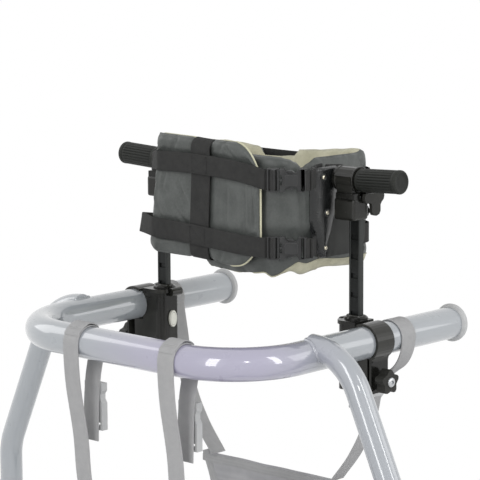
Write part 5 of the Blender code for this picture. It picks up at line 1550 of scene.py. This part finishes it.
def rounded_box(u0, u1, v, r):
    """A box's outline with round corners, from u0 to u1 and from -v to v."""
    outline = []
    for u, side, start in ((u1 - r, v - r, 0), (u0 + r, v - r, 90), (u0 + r, r - v, 180),
                           (u1 - r, r - v, 270)):
        outline += corner_points(u, side, r, start, 4)
    return outline


# every outline: the way along the buckle from the plug's end, and the way across it
half = BUCKLE_HALF
strap_slot = rounded_box(BUCKLE_TIP - 0.0075, BUCKLE_TIP - 0.0040, SLOT_HALF, 0.0010)
upper_side = [(0.0143, half - 0.0012), (0.0155, half)]
# the half-moon cut in the side, where the prong shows
upper_side += [(0.0282 + 0.0079 * math.cos(a), half - 0.0062 * math.sin(a))
               for a in np.linspace(math.pi, 0, 9)]
upper_side += [(0.0378, half - 0.0002), (0.0445, half - 0.0010),
               (BUCKLE_TIP - 0.0008, half - 0.0026), (BUCKLE_TIP, half - 0.0040)]
mouth = [(0.0143, -0.0070), (0.0168, -0.0052), (0.0180, 0.0), (0.0168, 0.0052), (0.0143, 0.0070)]
shell = upper_side + [(u, -v) for u, v in reversed(upper_side)] + mouth
mouth_wall = [(0.0148, half - 0.0014), (0.0165, half - 0.0006), (0.0196, half - 0.0014),
              (0.0196, half - 0.0040), (0.0165, half - 0.0036), (0.0148, half - 0.0030)]
end_wall = [(0.0362, half - 0.0014), (0.0400, half - 0.0010), (0.0456, half - 0.0024),
            (0.0456, 0.0024 - half), (0.0400, 0.0010 - half), (0.0362, 0.0014 - half),
            (0.0362, 0.0045 - half), (0.0362, half - 0.0045)]
panel = rounded_box(0.0205, 0.0350, 0.0062, 0.0020)
ladder = [rounded_box(0.0, 0.0138, half, 0.0016),
          rounded_box(0.0018, 0.0044, PLUG_SLOT_HALF, 0.0009),
          rounded_box(0.0090, 0.0116, PLUG_SLOT_HALF, 0.0009)]
prong = [(0.0130, 0.0080), (0.0180, 0.0086), (0.0215, 0.0096), (0.0236, 0.0112),
         (0.0262, 0.0112), (0.0292, 0.0104), (0.0318, 0.0084), (0.0326, 0.0062),
         (0.0316, 0.0048), (0.0292, 0.0056), (0.0262, 0.0070), (0.0230, 0.0066),
         (0.0180, 0.0056), (0.0130, 0.0050)]
tongue = [(0.0130, -0.0016), (0.0270, -0.0012), (0.0280, 0.0), (0.0270, 0.0012), (0.0130, 0.0016)]

for level, z in (("upper", UPPER_Z), ("lower", LOWER_Z)):
    # the body's two shells, the walls between them, and a low raised panel on the front one
    body = "buckle_" + level
    moulding("buckle_shell_front_" + level, body, [shell, strap_slot], 0.0024, 0.0042, 0.0007,
             stands_for=["buckle_body_" + level])
    moulding("buckle_shell_back_" + level, body, [shell, strap_slot], -0.0042, -0.0024, 0.0007)
    for number, wall in enumerate(([mouth_wall], [end_wall, strap_slot],
                                   [[(u, -v) for u, v in reversed(mouth_wall)]])):
        moulding("buckle_wall_%s_%d" % (level, number), body, wall, -0.0026, 0.0026, 0.0004)
    moulding("buckle_panel_" + level, body, [panel], 0.0040, 0.0046, 0.0003)

    # the plug: a ladder end with two slots, the prongs, and the tongue between them
    moulding("buckle_ladder_" + level, "trunk_support", ladder, -0.0032, 0.0032, 0.0006,
             stands_for=["buckle_plug_" + level])
    for end in (-1, 1):
        moulding("buckle_prong_%s_%d" % (level, end + 1), "trunk_support",
                 [[(u, end * v) for u, v in prong]], -0.0021, 0.0021, 0.0005)
    moulding("buckle_tongue_" + level, "trunk_support", [tongue], -0.0014, 0.0014, 0.0003)

    # the short strap from the body's bar to the right side plate, sewn back on itself
    tip = PLUG_AT + Z_WAY * z + BUCKLE_WAY * (BUCKLE_TIP - 0.0020)
    plan = [tip + BUCKLE_WAY * u + BUCKLE_OUT * w
            for u, w in ((0.0042, 0.0012), (0.0022, 0.0036), (-0.0006, 0.0036),
                         (-0.0030, 0.0010), (-0.0024, -0.0020), (0.0004, -0.0030),
                         (0.0040, -0.0012), (0.0070, 0.0014))]
    plan += [(x, y, z + lift) for x, y, lift in (
        (0.1425, -0.0600, 0), (0.1370, -0.0490, 0), (0.1275, -0.0385, 0.001),
        (0.1212, -0.0280, 0.001), (0.1200, -0.0180, 0.001))]
    tail = ribbon("buckle_tail_" + level, None, black_web, smooth_path(plan, 0.0015), Z_WAY,
                  TAIL_W, TAIL_T, "black_webbing")
    tuple(tip + BUCKLE_WAY * 0.002)
    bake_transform(tail)


# The base is one welded frame of two side tubes and a cross tube, with a socket for each caster
# and a sleeve over each leg. It has the same powder coat as the handle tube.
for node_name in ("base_frame", "leg_sleeve_left", "leg_sleeve_right"):
    finished(node_name, frame_paint)


# The casters are swivel forks of black nylon with grey thermoplastic tyres on black hubs. A bright
# hex-headed axle goes through each. The rear forks carry a foot brake.
CASTER_X = 0.325
CASTER_Y = {"front": -0.375, "rear": 0.305}
TRAIL = 0.035
WHEEL_R = 0.0625
HUB_RIBS = 7
HUB_RIB_TALL = 0.0034
DISC_FROM, DISC_TO = 0.0148, 0.0430
HUB_STEPS = HUB_RIBS * 20

tyre_grey, shader, place = new_finish("tyre_grey", tone(112, 113, 115), 0.62)
cloud = place.noise(70.0, 5.0)
dust = place.noise(700.0, 4.0)
shade = (cloud * 0.6 + dust * 0.4).ease(0.3, 0.75)
feed(shader, Base_Color=shade.mix(tone(98, 99, 101), tone(128, 129, 130)),
     Roughness=cloud * 0.2 + dust * 0.1 + 0.46)
relief(shader, dust * 0.7 + cloud * 0.3, 0.00020)


def both_faces(half_profile):
    """A wheel's whole profile from the half on its right face."""
    return half_profile + [(r, -w) for r, w in reversed(half_profile[:-1])]


for spot in ("front_left", "front_right", "rear_left", "rear_right"):
    end, side_name = spot.split("_")
    x = CASTER_X * dict(SIDES)[side_name]
    centre = Vector((x, CASTER_Y[end] + TRAIL, WHEEL_R))
    soft_edges("caster_fork_" + spot, matt_nylon, 0.0009, 40)
    soft_edges("caster_axle_" + spot, steel, 0.0004, 40)
    # the tyre, with two fine grooves in its tread
    tread = [(0.0470, 0.0118), (0.0520, 0.0126), (0.0575, 0.0122), (0.0603, 0.0106),
             (0.0618, 0.0084), (0.0624, 0.0062), (WHEEL_R, 0.0052), (0.0619, 0.0046),
             (WHEEL_R, 0.0040), (WHEEL_R, 0.0)]
    piece("caster_tyre_" + spot, "wheel_" + spot, tyre_grey,
          *hoop(spun(both_faces(tread), centre, 1, 96)), slot="tyre", sharp=45,
          stands_for=["caster_wheel_" + spot])
    # the hub: a rim under the tyre, a thin disc with low ribs on each face, and a boss
    hub = [(0.0045, 0.0140), (0.0115, 0.0140), (0.0135, 0.0134), (0.0142, 0.0120),
           (0.0150, 0.0072), (0.0180, 0.0060), (0.0400, 0.0058), (0.0428, 0.0070),
           (0.0440, 0.0112), (0.0455, 0.0122), (0.0474, 0.0120), (0.0476, 0.0)]
    rings = spun(both_faces(hub), centre, 1, HUB_STEPS)
    for (r, w), ring in zip(both_faces(hub), rings):
        for k, point in enumerate(ring):
            if DISC_FROM < r < DISC_TO:
                turn = (HUB_RIBS * k / HUB_STEPS) % 1
                point.x += math.copysign(HUB_RIB_TALL * math.exp(-(turn - 0.5) ** 2 / 0.006), w)
    piece("caster_hub_" + spot, "wheel_" + spot, matt_nylon, *hoop(rings), slot="caster_plastic",
          sharp=40)
    if end == "rear":
        soft_edges("caster_brake_" + spot, matt_nylon, 0.0009, 40)


# Each leg is held at its height by a three-lobed hand knob through a boss on the sleeve.
for side_name, s in SIDES:
    soft_edges("height_knob_" + side_name, matt_nylon, 0.0016, 40)


# The buckles on the sling's rear straps are pale grey acetal, as the frame's caps are.
for side_name, s in SIDES:
    soft_edges("sling_buckle_" + side_name, cap_plastic, 0.0008, 40)
